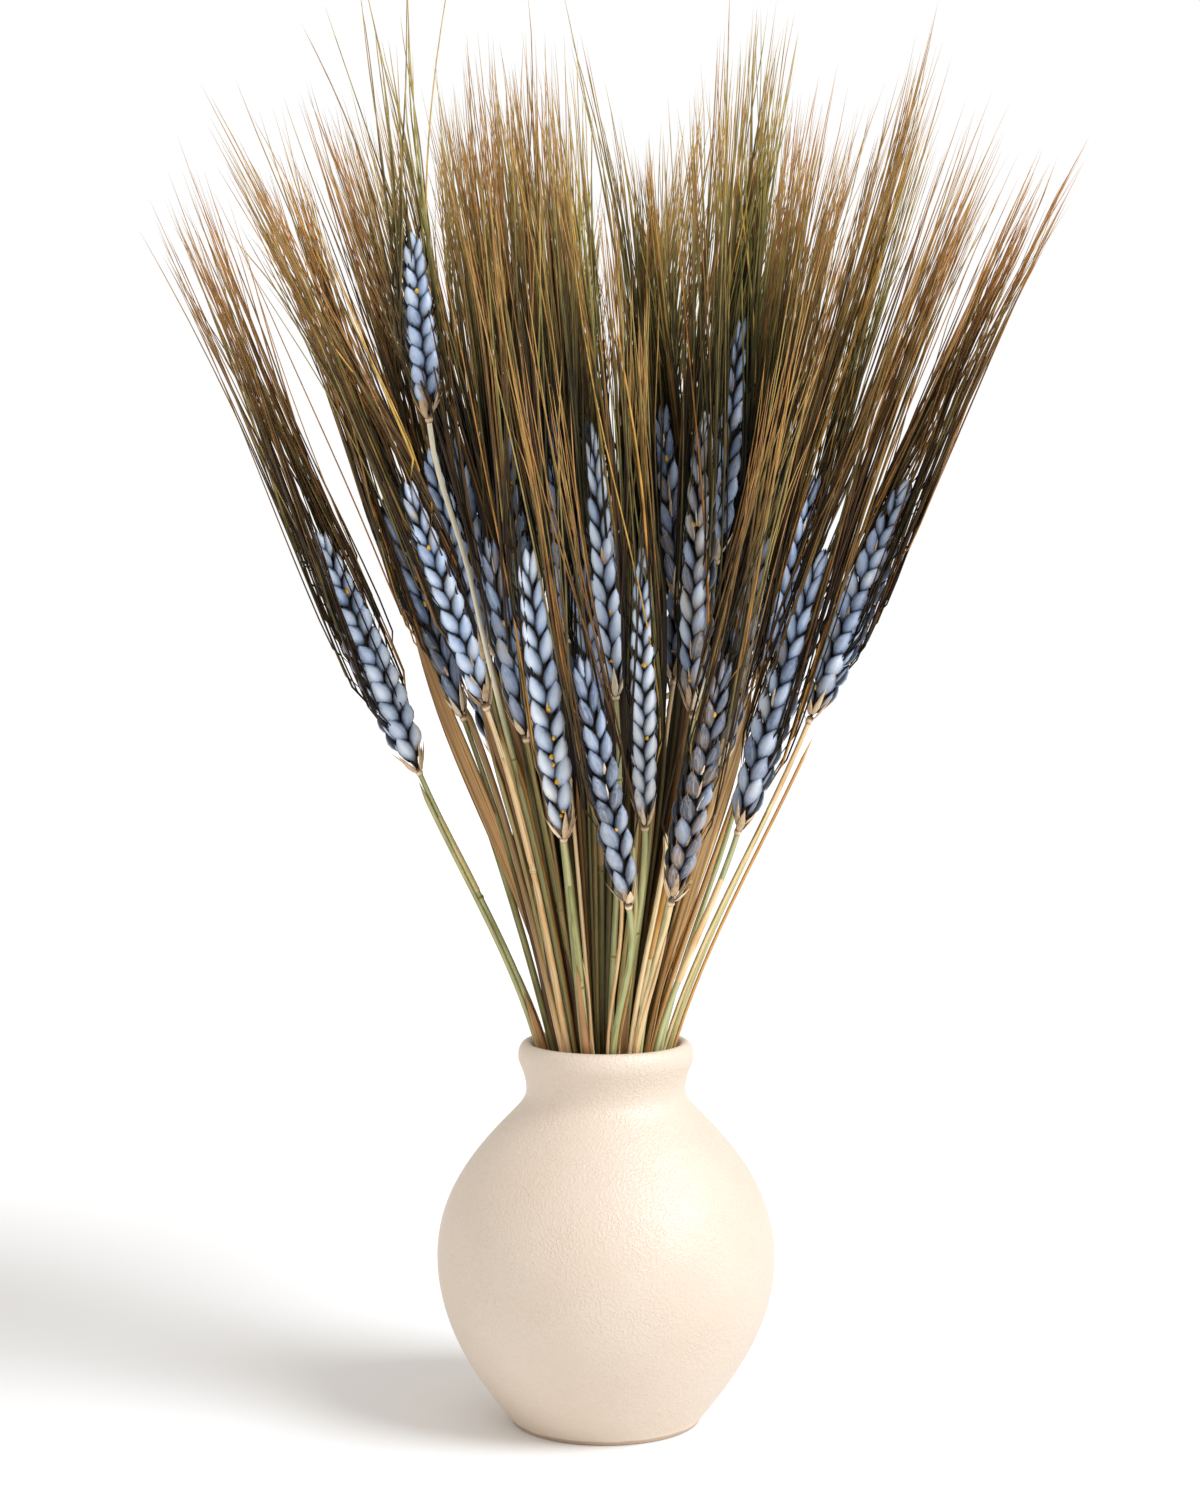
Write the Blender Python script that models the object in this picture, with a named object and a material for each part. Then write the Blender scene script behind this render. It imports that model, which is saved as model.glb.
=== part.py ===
"""A round ceramic vase that holds thirty-six bearded wheat stalks.

Metres, +Z up. The origin is the middle of the vase's foot, and -Y is the side that is looked at.
Each stalk is a stem with an ear on its top. The stems cross the vase's mouth side by side and turn round
each other on the way down to its floor, where each two neighbours are joined at the foot. An ear is four
columns of florets round an axis, staggered by half a floret, and some of its florets end in a long awn.
A few stems carry a dry leaf.
"""

import math
import random
from collections import namedtuple

import bmesh
import bpy
import numpy as np

SEED = 11
MERGE_DISTANCE = 0.00001

# Clearance of a stem from its ear above and from the vase's floor below
GAP = 0.0003

# Vase: points of its outside, the reach of the curve's handles there, and the rolled lip
VASE_STEPS = 32
FOOT_RADIUS = 0.0308
FOOT_ROUND = 0.0010
BELLY_RADIUS = 0.0550
BELLY_HEIGHT = 0.0544
FOOT_FLARE = (0.0131, 0.0160)
BELLY_HANDLE = 0.0200
SHOULDER_HANDLE = 0.0120
SHOULDER_RADIUS = 0.0312
SHOULDER_HEIGHT = 0.1006
NECK_RADIUS = 0.0258
NECK_HEIGHT = 0.1095
NECK_HANDLE = 0.0030
LIP_HEIGHT = 0.1203
LIP_MIDDLE = 0.0258
LIP_HALF_WIDTH = 0.0026
LIP_HALF_HEIGHT = 0.0044
LIP_ARC = (-35.0, 205.0)
WALL = 0.0034
FLOOR_HEIGHT = 0.0060

# Stems: they spread inside the mouth, then bend into a waist and twist on the way down
STEM_SIDES = 5
STEM_RADIUS = 0.00150
STEM_TOP_RADIUS = 0.00095
FAN_HEIGHT = 0.0680
MOUTH_CLEAR_RADIUS = 0.0199
STEM_SPACING = 0.0052
STEM_WAIST = 0.82
STEM_SPREAD = 1.08
STEM_TWIST = math.radians(60.0)
SPREADING_ROUNDS = 400
SPREADING_SHARE = 0.25
STEPS_ABOVE = 4
ENTRY_SHARE = 0.06
DEPTH_SHARES = (0.28, 0.56, 0.92)
FOOT_OVERLAP = 0.35
FOOT_STEP = 0.0007

# Dry leaves, each on the stem of a front ear: the ear's number, the height where the leaf leaves the
# stem, its length, and the bearing it stands off to, in degrees with 90 at the back
LEAVES = (
    (3, 0.158, 0.056, 150.0),
    (5, 0.160, 0.060, 200.0),
    (4, 0.166, 0.062, 60.0),
    (15, 0.160, 0.058, 20.0),
    (18, 0.156, 0.048, -30.0),
    (19, 0.164, 0.066, 120.0),
)
LEAF_STEPS = 4
LEAF_HALF_WIDTH = 0.0026
LEAF_HALF_THICKNESS = 0.00045
LEAF_ROOT = 0.0010
LEAF_STAND_OFF = (0.0010, 0.0026, 0.0034)
LEAF_SHARES = (0.0, 0.4, 1.0)

# Ears
COLUMNS = 4
ROWS = 7
EAR_WIDEST = 0.35
EAR_BASE_TAPER = 0.42
EAR_TIP_TAPER = 0.52
SIDE_VALLEY = 0.74
FACE_VALLEY = 0.62
FLORET_BELLY = 0.42
FLORET_TIP = 1.14
FLORET_TIP_RADIUS = 1.05
HALF_FLORET = 0.80
NECK_LENGTH = 0.0050
NECK_END_RADIUS = 0.0013
APEX_LENGTH = 0.0050
EAR_CLEARANCE = 0.0007

# Awns
AWNS_PER_EAR = 9
AWN_RADIUS = 0.00040
AWN_BEND_RADIUS = 0.00034
AWN_CLEARANCE = 0.0007
AWN_TRIES = 120
AWN_BEND_SHARE = 0.38
AWN_BULGE = (0.0024, 0.0048)
AWN_REACH = (0.118, 0.148)
AWN_SPREAD = (0.003, 0.015)
AWN_SIDE = 0.007
AWN_SWEEP = 0.10
AWN_TURNS = tuple(2.0 * math.pi * side / 3 for side in range(3))
FAN_RADIUS = (0.362, 0.405)
FAN_SIDE_LOSS = 0.6

# Ears that face the viewer: x, y and z of the ear's foot, the ear's length and its radius, all in
# millimetres, then in degrees its lean to the right, its lean to the front and its turn round its axis.
FRONT_EARS = (
    (-60, -2, 212, 83, 7.0, -23, 3, 30),
    (-55, -28, 324, 57, 5.6, -5, 6, 10),
    (-37, -38, 235, 74, 5.5, -19, 13, 8),
    (-39, -8, 248, 69, 5.7, -14, 3, -5),
    (-46, 4, 229, 74, 5.2, -20, -2, 20),
    (-25, 6, 254, 66, 5.2, -6, 0, -10),
    (-11, -8, 255, 71, 5.2, -5, 3, 5),
    (-25, -22, 224, 64, 5.2, -11, 9, 15),
    (-13, -46, 195, 93, 6.2, -7, 17, 4),
    (3, -32, 238, 85, 5.0, -5, 11, -4),
    (7, -45, 174, 83, 5.8, -11, 19, 14),
    (-3, -18, 221, 69, 5.2, -4, 6, -12),
    (12, -42, 198, 90, 5.0, -1, 16, 0),
    (23, 5, 267, 62, 5.2, -5, -3, 8),
    (27, -31, 232, 94, 5.6, 2, 10, -30),
    (35, -10, 280, 75, 5.4, 5, 5, 10),
    (20, -44, 175, 80, 5.8, 11, 17, 20),
    (35, -18, 213, 76, 5.2, 11, 7, -15),
    (49, -4, 241, 67, 5.4, 14, 4, 25),
    (41, -34, 196, 92, 6.2, 16, 12, -30),
    (65, -6, 229, 82, 6.6, 22, 4, -35),
    (35, 3, 228, 74, 5.2, 9, 0, 12),
)

# Arcs of ears behind them: number, tilt from upright in degrees, distance of the ear's foot from the
# point that the stalks fan out from, and the arc's first and last bearing in degrees, 90 being the back.
BACK_ARCS = (
    (6, 21.0, 0.158, 50.0, 130.0),
    (6, 13.5, 0.182, 35.0, 145.0),
    (2, 6.5, 0.155, 60.0, 120.0),
)
BACK_LENGTH = (0.068, 0.082)
BACK_RADIUS = 0.0055
BACK_TURN = math.radians(45.0)
BACK_JITTER = 0.006

# Colours: red, green, blue, then roughness
CERAMIC = ("ceramic", (0.78, 0.66, 0.52), 0.55)
FLORETS = ("florets", (0.20, 0.25, 0.42), 0.60)
STRAW = ("straw", (0.36, 0.33, 0.16), 0.65)


# A stalk's ear: its foot, the direction it points in, its length, its radius, and its turn round its axis
Stalk = namedtuple("Stalk", "foot along length radius turn")


def unit(vector):
    return vector / np.linalg.norm(vector)


def lean_direction(right, forward):
    """Direction of a stalk that leans right and forward by two angles in degrees."""
    return unit(np.array([math.tan(math.radians(right)), -math.tan(math.radians(forward)), 1.0]))


def cubic(start, first, second, end, steps):
    """Points of a cubic Bezier curve at equal parameters, without its first point."""
    points = []
    for t in np.linspace(0.0, 1.0, steps + 1)[1:]:
        s = 1.0 - t
        points.append(s ** 3 * start + 3 * s * s * t * first + 3 * s * t * t * second + t ** 3 * end)
    return points


def front_stalks():
    stalks = []
    for x, y, z, length, radius, right, forward, turn in FRONT_EARS:
        foot = np.array([x, y, z]) / 1000.0
        along = lean_direction(right, forward)
        stalks.append(Stalk(foot, along, length / 1000.0, radius / 1000.0, math.radians(turn)))
    return stalks


def back_stalks(draw):
    """Ears on three arcs behind the front ones, each pointing away from the fan's centre."""
    stalks = []
    centre = np.array([0.0, 0.0, FAN_HEIGHT])
    for count, tilt, distance, first, last in BACK_ARCS:
        for bearing in np.radians(np.linspace(first, last, count)):
            slope = math.radians(tilt)
            away = np.array([
                math.sin(slope) * math.cos(bearing),
                math.sin(slope) * math.sin(bearing),
                math.cos(slope),
            ])
            foot = centre + away * (distance + draw.uniform(-BACK_JITTER, BACK_JITTER))
            length = draw.uniform(*BACK_LENGTH)
            stalks.append(Stalk(foot, away, length, BACK_RADIUS, draw.uniform(-BACK_TURN, BACK_TURN)))
    return stalks


def mouth_points(stalks):
    """Where each stem crosses the mouth: on the line to the fan's centre, pushed apart inside the rim."""
    rise = LIP_HEIGHT - FAN_HEIGHT
    points = np.array([stalk.foot[:2] * rise / (stalk.foot[2] - FAN_HEIGHT) for stalk in stalks])
    for _ in range(SPREADING_ROUNDS):
        apart = points[:, None] - points[None]
        distance = np.linalg.norm(apart, axis=2)
        np.fill_diagonal(distance, 1.0)
        push = np.clip(STEM_SPACING - distance, 0.0, None) / distance
        points = points + SPREADING_SHARE * (push[:, :, None] * apart).sum(axis=1)
        radius = np.linalg.norm(points, axis=1, keepdims=True)
        points = points * np.minimum(1.0, MOUTH_CLEAR_RADIUS / radius)
    return points


def neighbour_pairs(points):
    """Pairs each stem with its nearest free neighbour, the most outlying stems first."""
    free = sorted(range(len(points)), key=lambda i: -np.linalg.norm(points[i]))
    pairs = []
    while free:
        one = free.pop(0)
        other = min(free, key=lambda i: np.linalg.norm(points[i] - points[one]))
        free.remove(other)
        pairs.append((one, other))
    return pairs


def inner_place(point, depth_share):
    """A stem's place below the mouth: drawn in to a waist, spread again, and turned round the axis."""
    depth = depth_share * (LIP_HEIGHT - FLOOR_HEIGHT)
    rise = LIP_HEIGHT - FAN_HEIGHT
    ease = depth_share * depth_share * (3.0 - 2.0 * depth_share)
    drawn_in = (1.0 - STEM_WAIST) * (1.0 - math.exp(-depth / rise / (1.0 - STEM_WAIST)))
    scale = 1.0 - drawn_in + (STEM_SPREAD - STEM_WAIST) * ease
    turn = STEM_TWIST * ease
    x, y = point * scale
    return np.array([
        x * math.cos(turn) - y * math.sin(turn),
        x * math.sin(turn) + y * math.cos(turn),
        LIP_HEIGHT - depth,
    ])


def stem_path(stalk, point, partner, foot_lift):
    """Points from the stem's top, just under its ear, to its foot beside its partner's."""
    top = stalk.foot - stalk.along * GAP
    mouth = np.array([point[0], point[1], LIP_HEIGHT])
    below = inner_place(point, ENTRY_SHARE) - mouth
    third = np.linalg.norm(top - mouth) / 3.0
    above = cubic(top, top - stalk.along * third, mouth - unit(below) * third, mouth, STEPS_ABOVE)
    path = [top] + above
    path += [inner_place(point, share) for share in DEPTH_SHARES]
    own, other = inner_place(point, 1.0), inner_place(partner, 1.0)
    middle = (own + other) / 2.0
    end = middle + unit(own - other) * STEM_RADIUS * FOOT_OVERLAP
    end[2] = FLOOR_HEIGHT + GAP + foot_lift
    path.append(end)
    return np.array(path)


def tube(path, radii, sides, start_facing):
    """A closed tube along a path that runs down: rings square to the path, the last one cut level."""
    ahead = np.gradient(path, axis=0)
    ahead[0] = start_facing
    ahead[-1] = (0.0, 0.0, -1.0)
    ahead /= np.linalg.norm(ahead, axis=1, keepdims=True)
    across = np.cross(ahead, [0.0, 1.0, 0.0])
    across /= np.linalg.norm(across, axis=1, keepdims=True)
    over = np.cross(ahead, across)
    vertices = []
    for centre, u, v, radius in zip(path, across, over, radii):
        for side in range(sides):
            angle = 2.0 * math.pi * side / sides
            vertices.append(centre + radius * (math.cos(angle) * u + math.sin(angle) * v))
    faces = [tuple(range(sides))[::-1]]
    for ring in range(len(path) - 1):
        low, high = ring * sides, (ring + 1) * sides
        for side in range(sides):
            after = (side + 1) % sides
            faces.append((low + side, low + after, high + after, high + side))
    last = (len(path) - 1) * sides
    faces.append(tuple(range(last, last + sides)))
    return vertices, faces


def in_triangles(faces):
    """Every face as a fan of triangles from its first corner."""
    return [(face[0], b, c) for face in faces for b, c in zip(face[1:], face[2:])]


def make_material(kind):
    name, colour, roughness = kind
    material = bpy.data.materials.get(name)
    if material is None:
        material = bpy.data.materials.new(name)
        material.use_nodes = True
        shader = material.node_tree.nodes["Principled BSDF"]
        shader.inputs["Base Color"].default_value = (*colour, 1.0)
        shader.inputs["Roughness"].default_value = roughness
        shader.inputs["Metallic"].default_value = 0.0
    return material


def add_object(name, vertices, faces, kind):
    mesh = bpy.data.meshes.new(name)
    mesh.from_pydata([tuple(v) for v in vertices], [], in_triangles(faces))
    mesh.materials.append(make_material(kind))
    thing = bpy.data.objects.new(name, mesh)
    bpy.context.scene.collection.objects.link(thing)
    return thing


def vase_profile():
    """Radius and height from the underside's middle, up the outside, over the lip and down inside."""
    foot = np.array([FOOT_RADIUS, FOOT_ROUND])
    belly = np.array([BELLY_RADIUS, BELLY_HEIGHT])
    shoulder = np.array([SHOULDER_RADIUS, SHOULDER_HEIGHT])
    neck = np.array([NECK_RADIUS, NECK_HEIGHT])
    upright = np.array([0.0, BELLY_HANDLE])
    slant = np.array([-SHOULDER_HANDLE, SHOULDER_HANDLE])
    outside = [foot]
    outside += cubic(foot, foot + FOOT_FLARE, belly - upright, belly, 4)
    outside += cubic(belly, belly + upright, shoulder - slant, shoulder, 4)
    outside += cubic(shoulder, shoulder + slant / 3.0, neck - [0.0, NECK_HANDLE], neck, 2)
    lip = []
    for angle in np.radians(np.linspace(*LIP_ARC, 6)):
        radius = LIP_MIDDLE + LIP_HALF_WIDTH * math.cos(angle)
        lip.append(np.array([radius, LIP_HEIGHT + LIP_HALF_HEIGHT * math.sin(angle)]))
    along = np.gradient(np.array(outside), axis=0)
    inward = np.stack([-along[:, 1], along[:, 0]], axis=1)
    inward /= np.linalg.norm(inward, axis=1, keepdims=True)
    inside = [p for p in np.array(outside) + inward * WALL if p[1] > FLOOR_HEIGHT + WALL]
    edge = np.array([FOOT_RADIUS - FOOT_ROUND, 0.0])
    floor_edge = np.array([FOOT_RADIUS, FLOOR_HEIGHT])
    return [np.zeros(2), edge] + outside + lip + inside[::-2] + [floor_edge, np.array([0.0, FLOOR_HEIGHT])]


def make_vase():
    """The profile spun round the axis."""
    shape = bmesh.new()
    rim = [shape.verts.new((radius, 0.0, height)) for radius, height in vase_profile()]
    edges = [shape.edges.new(pair) for pair in zip(rim, rim[1:])]
    bmesh.ops.spin(
        shape, geom=rim + edges, cent=(0.0, 0.0, 0.0), axis=(0.0, 0.0, 1.0),
        angle=2.0 * math.pi, steps=VASE_STEPS, use_merge=True,
    )
    bmesh.ops.remove_doubles(shape, verts=shape.verts[:], dist=MERGE_DISTANCE)
    bmesh.ops.recalc_face_normals(shape, faces=shape.faces[:])
    mesh = bpy.data.meshes.new("vase")
    shape.to_mesh(mesh)
    shape.free()
    mesh.shade_smooth()
    mesh.materials.append(make_material(CERAMIC))
    bpy.context.scene.collection.objects.link(bpy.data.objects.new("vase", mesh))


def point_at_height(path, height):
    """Where a path that runs downwards passes a height."""
    order = np.argsort(path[:, 2])
    return np.array([np.interp(height, path[order, 2], path[order, k]) for k in range(3)])


def leaf(path, height, length, bearing):
    """A thin blade that leaves a stem and rises beside it: narrow at both ends, lens-shaped across."""
    angle = math.radians(bearing)
    off = np.array([math.cos(angle), math.sin(angle), 0.0])
    wide = np.array([-off[1], off[0], 0.0])
    vertices = []
    for step in range(LEAF_STEPS + 1):
        share = step / LEAF_STEPS
        stand_off = np.interp(share, LEAF_SHARES, LEAF_STAND_OFF)
        middle = point_at_height(path, height + length * share) + off * stand_off
        half = LEAF_ROOT + (LEAF_HALF_WIDTH - LEAF_ROOT) * math.sin(math.pi * share)
        for across, through in ((-half, 0.0), (0.0, -1.0), (half, 0.0), (0.0, 1.0)):
            vertices.append(middle + wide * across + off * through * LEAF_HALF_THICKNESS)
    faces = [(3, 2, 1, 0)]
    for low in range(0, 4 * LEAF_STEPS, 4):
        for side in range(4):
            after = (side + 1) % 4
            faces.append((low + side, low + after, low + 4 + after, low + 4 + side))
    last = 4 * LEAF_STEPS
    faces.append((last, last + 1, last + 2, last + 3))
    return vertices, faces


def make_stem_pair(name, shapes):
    """Two stems and their leaves, joined by one union: the stems meet at the foot."""
    parts = bpy.data.collections.new(name)
    bpy.context.scene.collection.children.link(parts)
    pieces = [add_object(name + "_piece", vertices, faces, STRAW) for vertices, faces in shapes]
    for piece in pieces[1:]:
        bpy.context.scene.collection.objects.unlink(piece)
        parts.objects.link(piece)
    join = pieces[0].modifiers.new("join", "BOOLEAN")
    join.operation = "UNION"
    join.operand_type = "COLLECTION"
    join.collection = parts
    ready = pieces[0].evaluated_get(bpy.context.evaluated_depsgraph_get())
    mesh = bpy.data.meshes.new_from_object(ready)
    mesh.name = name
    for piece in pieces:
        bpy.data.objects.remove(piece)
    bpy.data.collections.remove(parts)
    bpy.context.scene.collection.objects.link(bpy.data.objects.new(name, mesh))


def stem_shapes(number, path, direction):
    """The tube of one stem, square to its ear's foot at the top, and the leaves that grow on it."""
    radii = np.linspace(STEM_TOP_RADIUS, STEM_RADIUS, len(path))
    shapes = [tube(path, radii, STEM_SIDES, -direction)]
    shapes += [leaf(path, *leaf_place) for ear_number, *leaf_place in LEAVES if ear_number == number]
    return shapes


def ear_girth(share):
    """Girth of an ear at a share of its length, 1 where it is widest."""
    if share < EAR_WIDEST:
        return 1.0 - EAR_BASE_TAPER * ((EAR_WIDEST - share) / EAR_WIDEST) ** 2
    return 1.0 - EAR_TIP_TAPER * ((share - EAR_WIDEST) / (1.0 - EAR_WIDEST)) ** 2


class Ear:
    """One ear: its place, its vertices and its faces, built floret by floret."""

    def __init__(self, stalk):
        self.foot, self.along, self.length, self.radius, turn = stalk
        side = unit(np.cross([0.0, 1.0, 0.0], self.along))
        front = np.cross(self.along, side)
        self.broad = side * math.cos(turn) + front * math.sin(turn)
        self.narrow = np.cross(self.along, self.broad)
        self.rise = (self.length - NECK_LENGTH - APEX_LENGTH) / ROWS
        self.vertices = []
        self.faces = []
        self.valleys = []
        self.awn_roots = []

    def tip(self):
        return self.foot + self.along * self.length

    def outward(self, bearing):
        return self.broad * math.cos(bearing) + self.narrow * math.sin(bearing)

    def place(self, bearing, height, radius):
        """A point at a height along the ear and a distance from its axis."""
        return self.foot + self.along * height + self.outward(bearing) * radius

    def add(self, point):
        self.vertices.append(point)
        return len(self.vertices) - 1

    def add_valleys(self):
        """The grooves between the columns, with a point at each half floret."""
        for column in range(COLUMNS):
            bearing = 2.0 * math.pi * column / COLUMNS
            depth = SIDE_VALLEY if column % 2 == 0 else FACE_VALLEY
            groove = []
            for half in range(2 * ROWS + 1):
                height = NECK_LENGTH + half * self.rise / 2.0
                radius = self.radius * depth * ear_girth(height / self.length)
                groove.append(self.add(self.place(bearing, height, radius)))
            self.valleys.append(groove)

    def add_floret(self, column, half, with_awn):
        """A full floret: a rounded belly that narrows to a tip standing out over the next one."""
        left, right = self.valleys[column], self.valleys[(column + 1) % COLUMNS]
        bearing = 2.0 * math.pi * (column + 0.5) / COLUMNS
        start = NECK_LENGTH + half * self.rise / 2.0
        belly_height = start + FLORET_BELLY * self.rise
        tip_height = start + FLORET_TIP * self.rise
        belly_radius = self.radius * ear_girth(belly_height / self.length)
        tip_radius = self.radius * FLORET_TIP_RADIUS * ear_girth(tip_height / self.length)
        belly = self.add(self.place(bearing, belly_height, belly_radius))
        root = self.place(bearing, tip_height, tip_radius)
        low_left, mid_left, top_left = left[half:half + 3]
        low_right, mid_right, top_right = right[half:half + 3]
        self.faces += [
            (low_left, low_right, belly), (low_right, mid_right, belly), (mid_left, low_left, belly),
        ]
        if not with_awn:
            tip = self.add(root)
            ring = [belly, mid_right, top_right, top_left, mid_left]
            self.faces += [(a, b, tip) for a, b in zip(ring, ring[1:] + ring[:1])]
            return
        outward = self.outward(bearing)
        beside = np.cross(self.along, outward)
        spokes = [math.cos(turn) * outward + math.sin(turn) * beside for turn in AWN_TURNS]
        out, in_right, in_left = [self.add(root + AWN_RADIUS * spoke) for spoke in spokes]
        self.faces += [
            (belly, mid_right, out), (mid_right, in_right, out), (mid_right, top_right, in_right),
            (top_right, top_left, in_right), (top_left, in_left, in_right), (top_left, mid_left, in_left),
            (mid_left, out, in_left), (mid_left, belly, out),
        ]
        self.awn_roots.append((root, outward, beside, spokes, (out, in_right, in_left)))

    def add_half_floret(self, column, half):
        left, right = self.valleys[column], self.valleys[(column + 1) % COLUMNS]
        bearing = 2.0 * math.pi * (column + 0.5) / COLUMNS
        height = NECK_LENGTH + (half + 0.5) * self.rise / 2.0
        radius = self.radius * HALF_FLORET * ear_girth(height / self.length)
        belly = self.add(self.place(bearing, height, radius))
        ring = [left[half], right[half], right[half + 1], left[half + 1]]
        self.faces += [(a, b, belly) for a, b in zip(ring, ring[1:] + ring[:1])]

    def add_ends(self):
        """A pointed top, and a neck that narrows to a flat end on the stem."""
        apex = self.add(self.tip())
        neck = []
        for column in range(COLUMNS):
            bearing = 2.0 * math.pi * column / COLUMNS
            neck.append(self.add(self.place(bearing, 0.0, NECK_END_RADIUS)))
        for column in range(COLUMNS):
            after = (column + 1) % COLUMNS
            left, right = self.valleys[column], self.valleys[after]
            self.faces.append((left[-1], right[-1], apex))
            self.faces.append((neck[column], neck[after], right[0], left[0]))
        self.faces.append(tuple(neck[::-1]))

    def add_awn(self, place, bend, end):
        """A three-sided needle from a floret's tip, through its bend, to a point."""
        root, _, _, spokes, ring = place
        bent = [self.add(bend + AWN_BEND_RADIUS * spoke) for spoke in spokes]
        tip = self.add(end)
        for side in range(3):
            after = (side + 1) % 3
            self.faces += [
                (ring[side], ring[after], bent[after]), (ring[side], bent[after], bent[side]),
                (bent[side], bent[after], tip),
            ]

    def close_awn(self, place):
        """The blunt end of a floret whose awn had no room."""
        root, _, _, _, ring = place
        tip = self.add(root + self.along * AWN_RADIUS)
        self.faces += [(ring[side], ring[(side + 1) % 3], tip) for side in range(3)]


def awned_florets():
    """Which florets carry an awn: every few of all full florets, counted round the ear and up it."""
    full = []
    for half in range(2 * ROWS - 1):
        full += [(column, half) for column in range(half % 2, COLUMNS, 2)]
    chosen = {full[round(i * (len(full) - 1) / (AWNS_PER_EAR - 1))] for i in range(AWNS_PER_EAR)}
    return full, chosen


def build_ear(stalk):
    ear = Ear(stalk)
    ear.add_valleys()
    full, chosen = awned_florets()
    for place in full:
        ear.add_floret(*place, place in chosen)
    for column in range(1, COLUMNS, 2):
        ear.add_half_floret(column, 0)
        ear.add_half_floret(column, 2 * ROWS - 1)
    ear.add_ends()
    return ear


def clearance(start, end, starts, ends, radii):
    """Least distance from one segment to the surfaces of many round bars."""
    own, bars, between = end - start, ends - starts, start - starts
    a, e = own @ own, np.einsum("ij,ij->i", bars, bars)
    b, c, f = bars @ own, between @ own, np.einsum("ij,ij->i", bars, between)
    s = np.clip((b * f - c * e) / np.maximum(a * e - b * b, 1e-15), 0.0, 1.0)
    t = np.clip((b * s + f) / e, 0.0, 1.0)
    s = np.clip((b * t - c) / a, 0.0, 1.0)
    gaps = np.linalg.norm(between + s[:, None] * own - t[:, None] * bars, axis=1)
    return (gaps - radii).min()


def draw_awn(ear, place, draw):
    """A bend and an end for one awn: out from the ear, then up in the way that the ear leans."""
    root, outward, beside, _, _ = place
    centre = np.array([0.0, 0.0, FAN_HEIGHT])
    tip = ear.tip()
    reach = draw.uniform(*AWN_REACH)
    spread = outward * draw.uniform(*AWN_SPREAD) + beside * draw.uniform(-AWN_SIDE, AWN_SIDE)
    way = unit(ear.along * [1.0 + AWN_SWEEP, 1.0 + AWN_SWEEP, 1.0])
    end = tip + way * reach + spread
    limit = draw.uniform(*FAN_RADIUS) * (1.0 - FAN_SIDE_LOSS * (1.0 - ear.along[2]))
    beyond = np.linalg.norm(end - centre)
    if beyond > limit:
        end = tip + (end - tip) * (1.0 - (beyond - limit) / np.linalg.norm(end - tip))
    bend = root + (end - root) * AWN_BEND_SHARE + outward * draw.uniform(*AWN_BULGE)
    return bend, end


def grow_awns(ears, paths, draw):
    """Gives each chosen floret an awn clear of every ear, stem and earlier awn, or a blunt end."""
    starts, ends, radii = [], [], []
    for ear in ears:
        inset = ear.along * ear.radius / 2.0
        starts.append(ear.foot + inset)
        ends.append(ear.tip() - inset)
        radii.append(ear.radius + EAR_CLEARANCE)
    for path in paths:
        for one, two in zip(path[:STEPS_ABOVE], path[1:]):
            starts.append(one)
            ends.append(two)
            radii.append(STEM_RADIUS)
    for number, ear in enumerate(ears):
        for place in ear.awn_roots:
            bars = [np.array(part) for part in (starts, ends, radii)]
            others = [np.delete(part, number, axis=0) for part in bars]
            for _ in range(AWN_TRIES):
                bend, end = draw_awn(ear, place, draw)
                near = min(clearance(place[0], bend, *others), clearance(bend, end, *others))
                upper = clearance(bend, end, *[part[number:number + 1] for part in bars])
                if near > AWN_RADIUS + AWN_CLEARANCE and upper > AWN_RADIUS:
                    break
            else:
                ear.close_awn(place)
                continue
            ear.add_awn(place, bend, end)
            starts += [place[0], bend]
            ends += [bend, end]
            radii += [AWN_RADIUS, AWN_BEND_RADIUS]


def main():
    for thing in list(bpy.data.objects):
        bpy.data.objects.remove(thing)
    draw = random.Random(SEED)
    stalks = front_stalks() + back_stalks(draw)
    mouth = mouth_points(stalks)
    paths = [None] * len(stalks)
    pairs = neighbour_pairs(mouth)
    for one, other in pairs:
        paths[one] = stem_path(stalks[one], mouth[one], mouth[other], 0.0)
        paths[other] = stem_path(stalks[other], mouth[other], mouth[one], FOOT_STEP)
    make_vase()
    for number, pair in enumerate(pairs, 1):
        shapes = [shape for i in pair for shape in stem_shapes(i + 1, paths[i], stalks[i].along)]
        make_stem_pair(f"stems_{number:02d}", shapes)
    ears = [build_ear(stalk) for stalk in stalks]
    grow_awns(ears, paths, draw)
    for number, ear in enumerate(ears, 1):
        add_object(f"ear_{number:02d}", ear.vertices, ear.faces, FLORETS)


main()
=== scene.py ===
"""Looks of a round ceramic vase that holds thirty-six stalks of bearded wheat.

Metres, +Z up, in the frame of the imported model: the origin is the middle of the vase's foot, and -Y is the
side that is looked at. The places of the stalks are worked out from the same values as the solid ones, and
each ear, stem and leaf is then drawn as closed shells that are carried along paths.
"""

import math
import random
from collections import namedtuple

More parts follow.
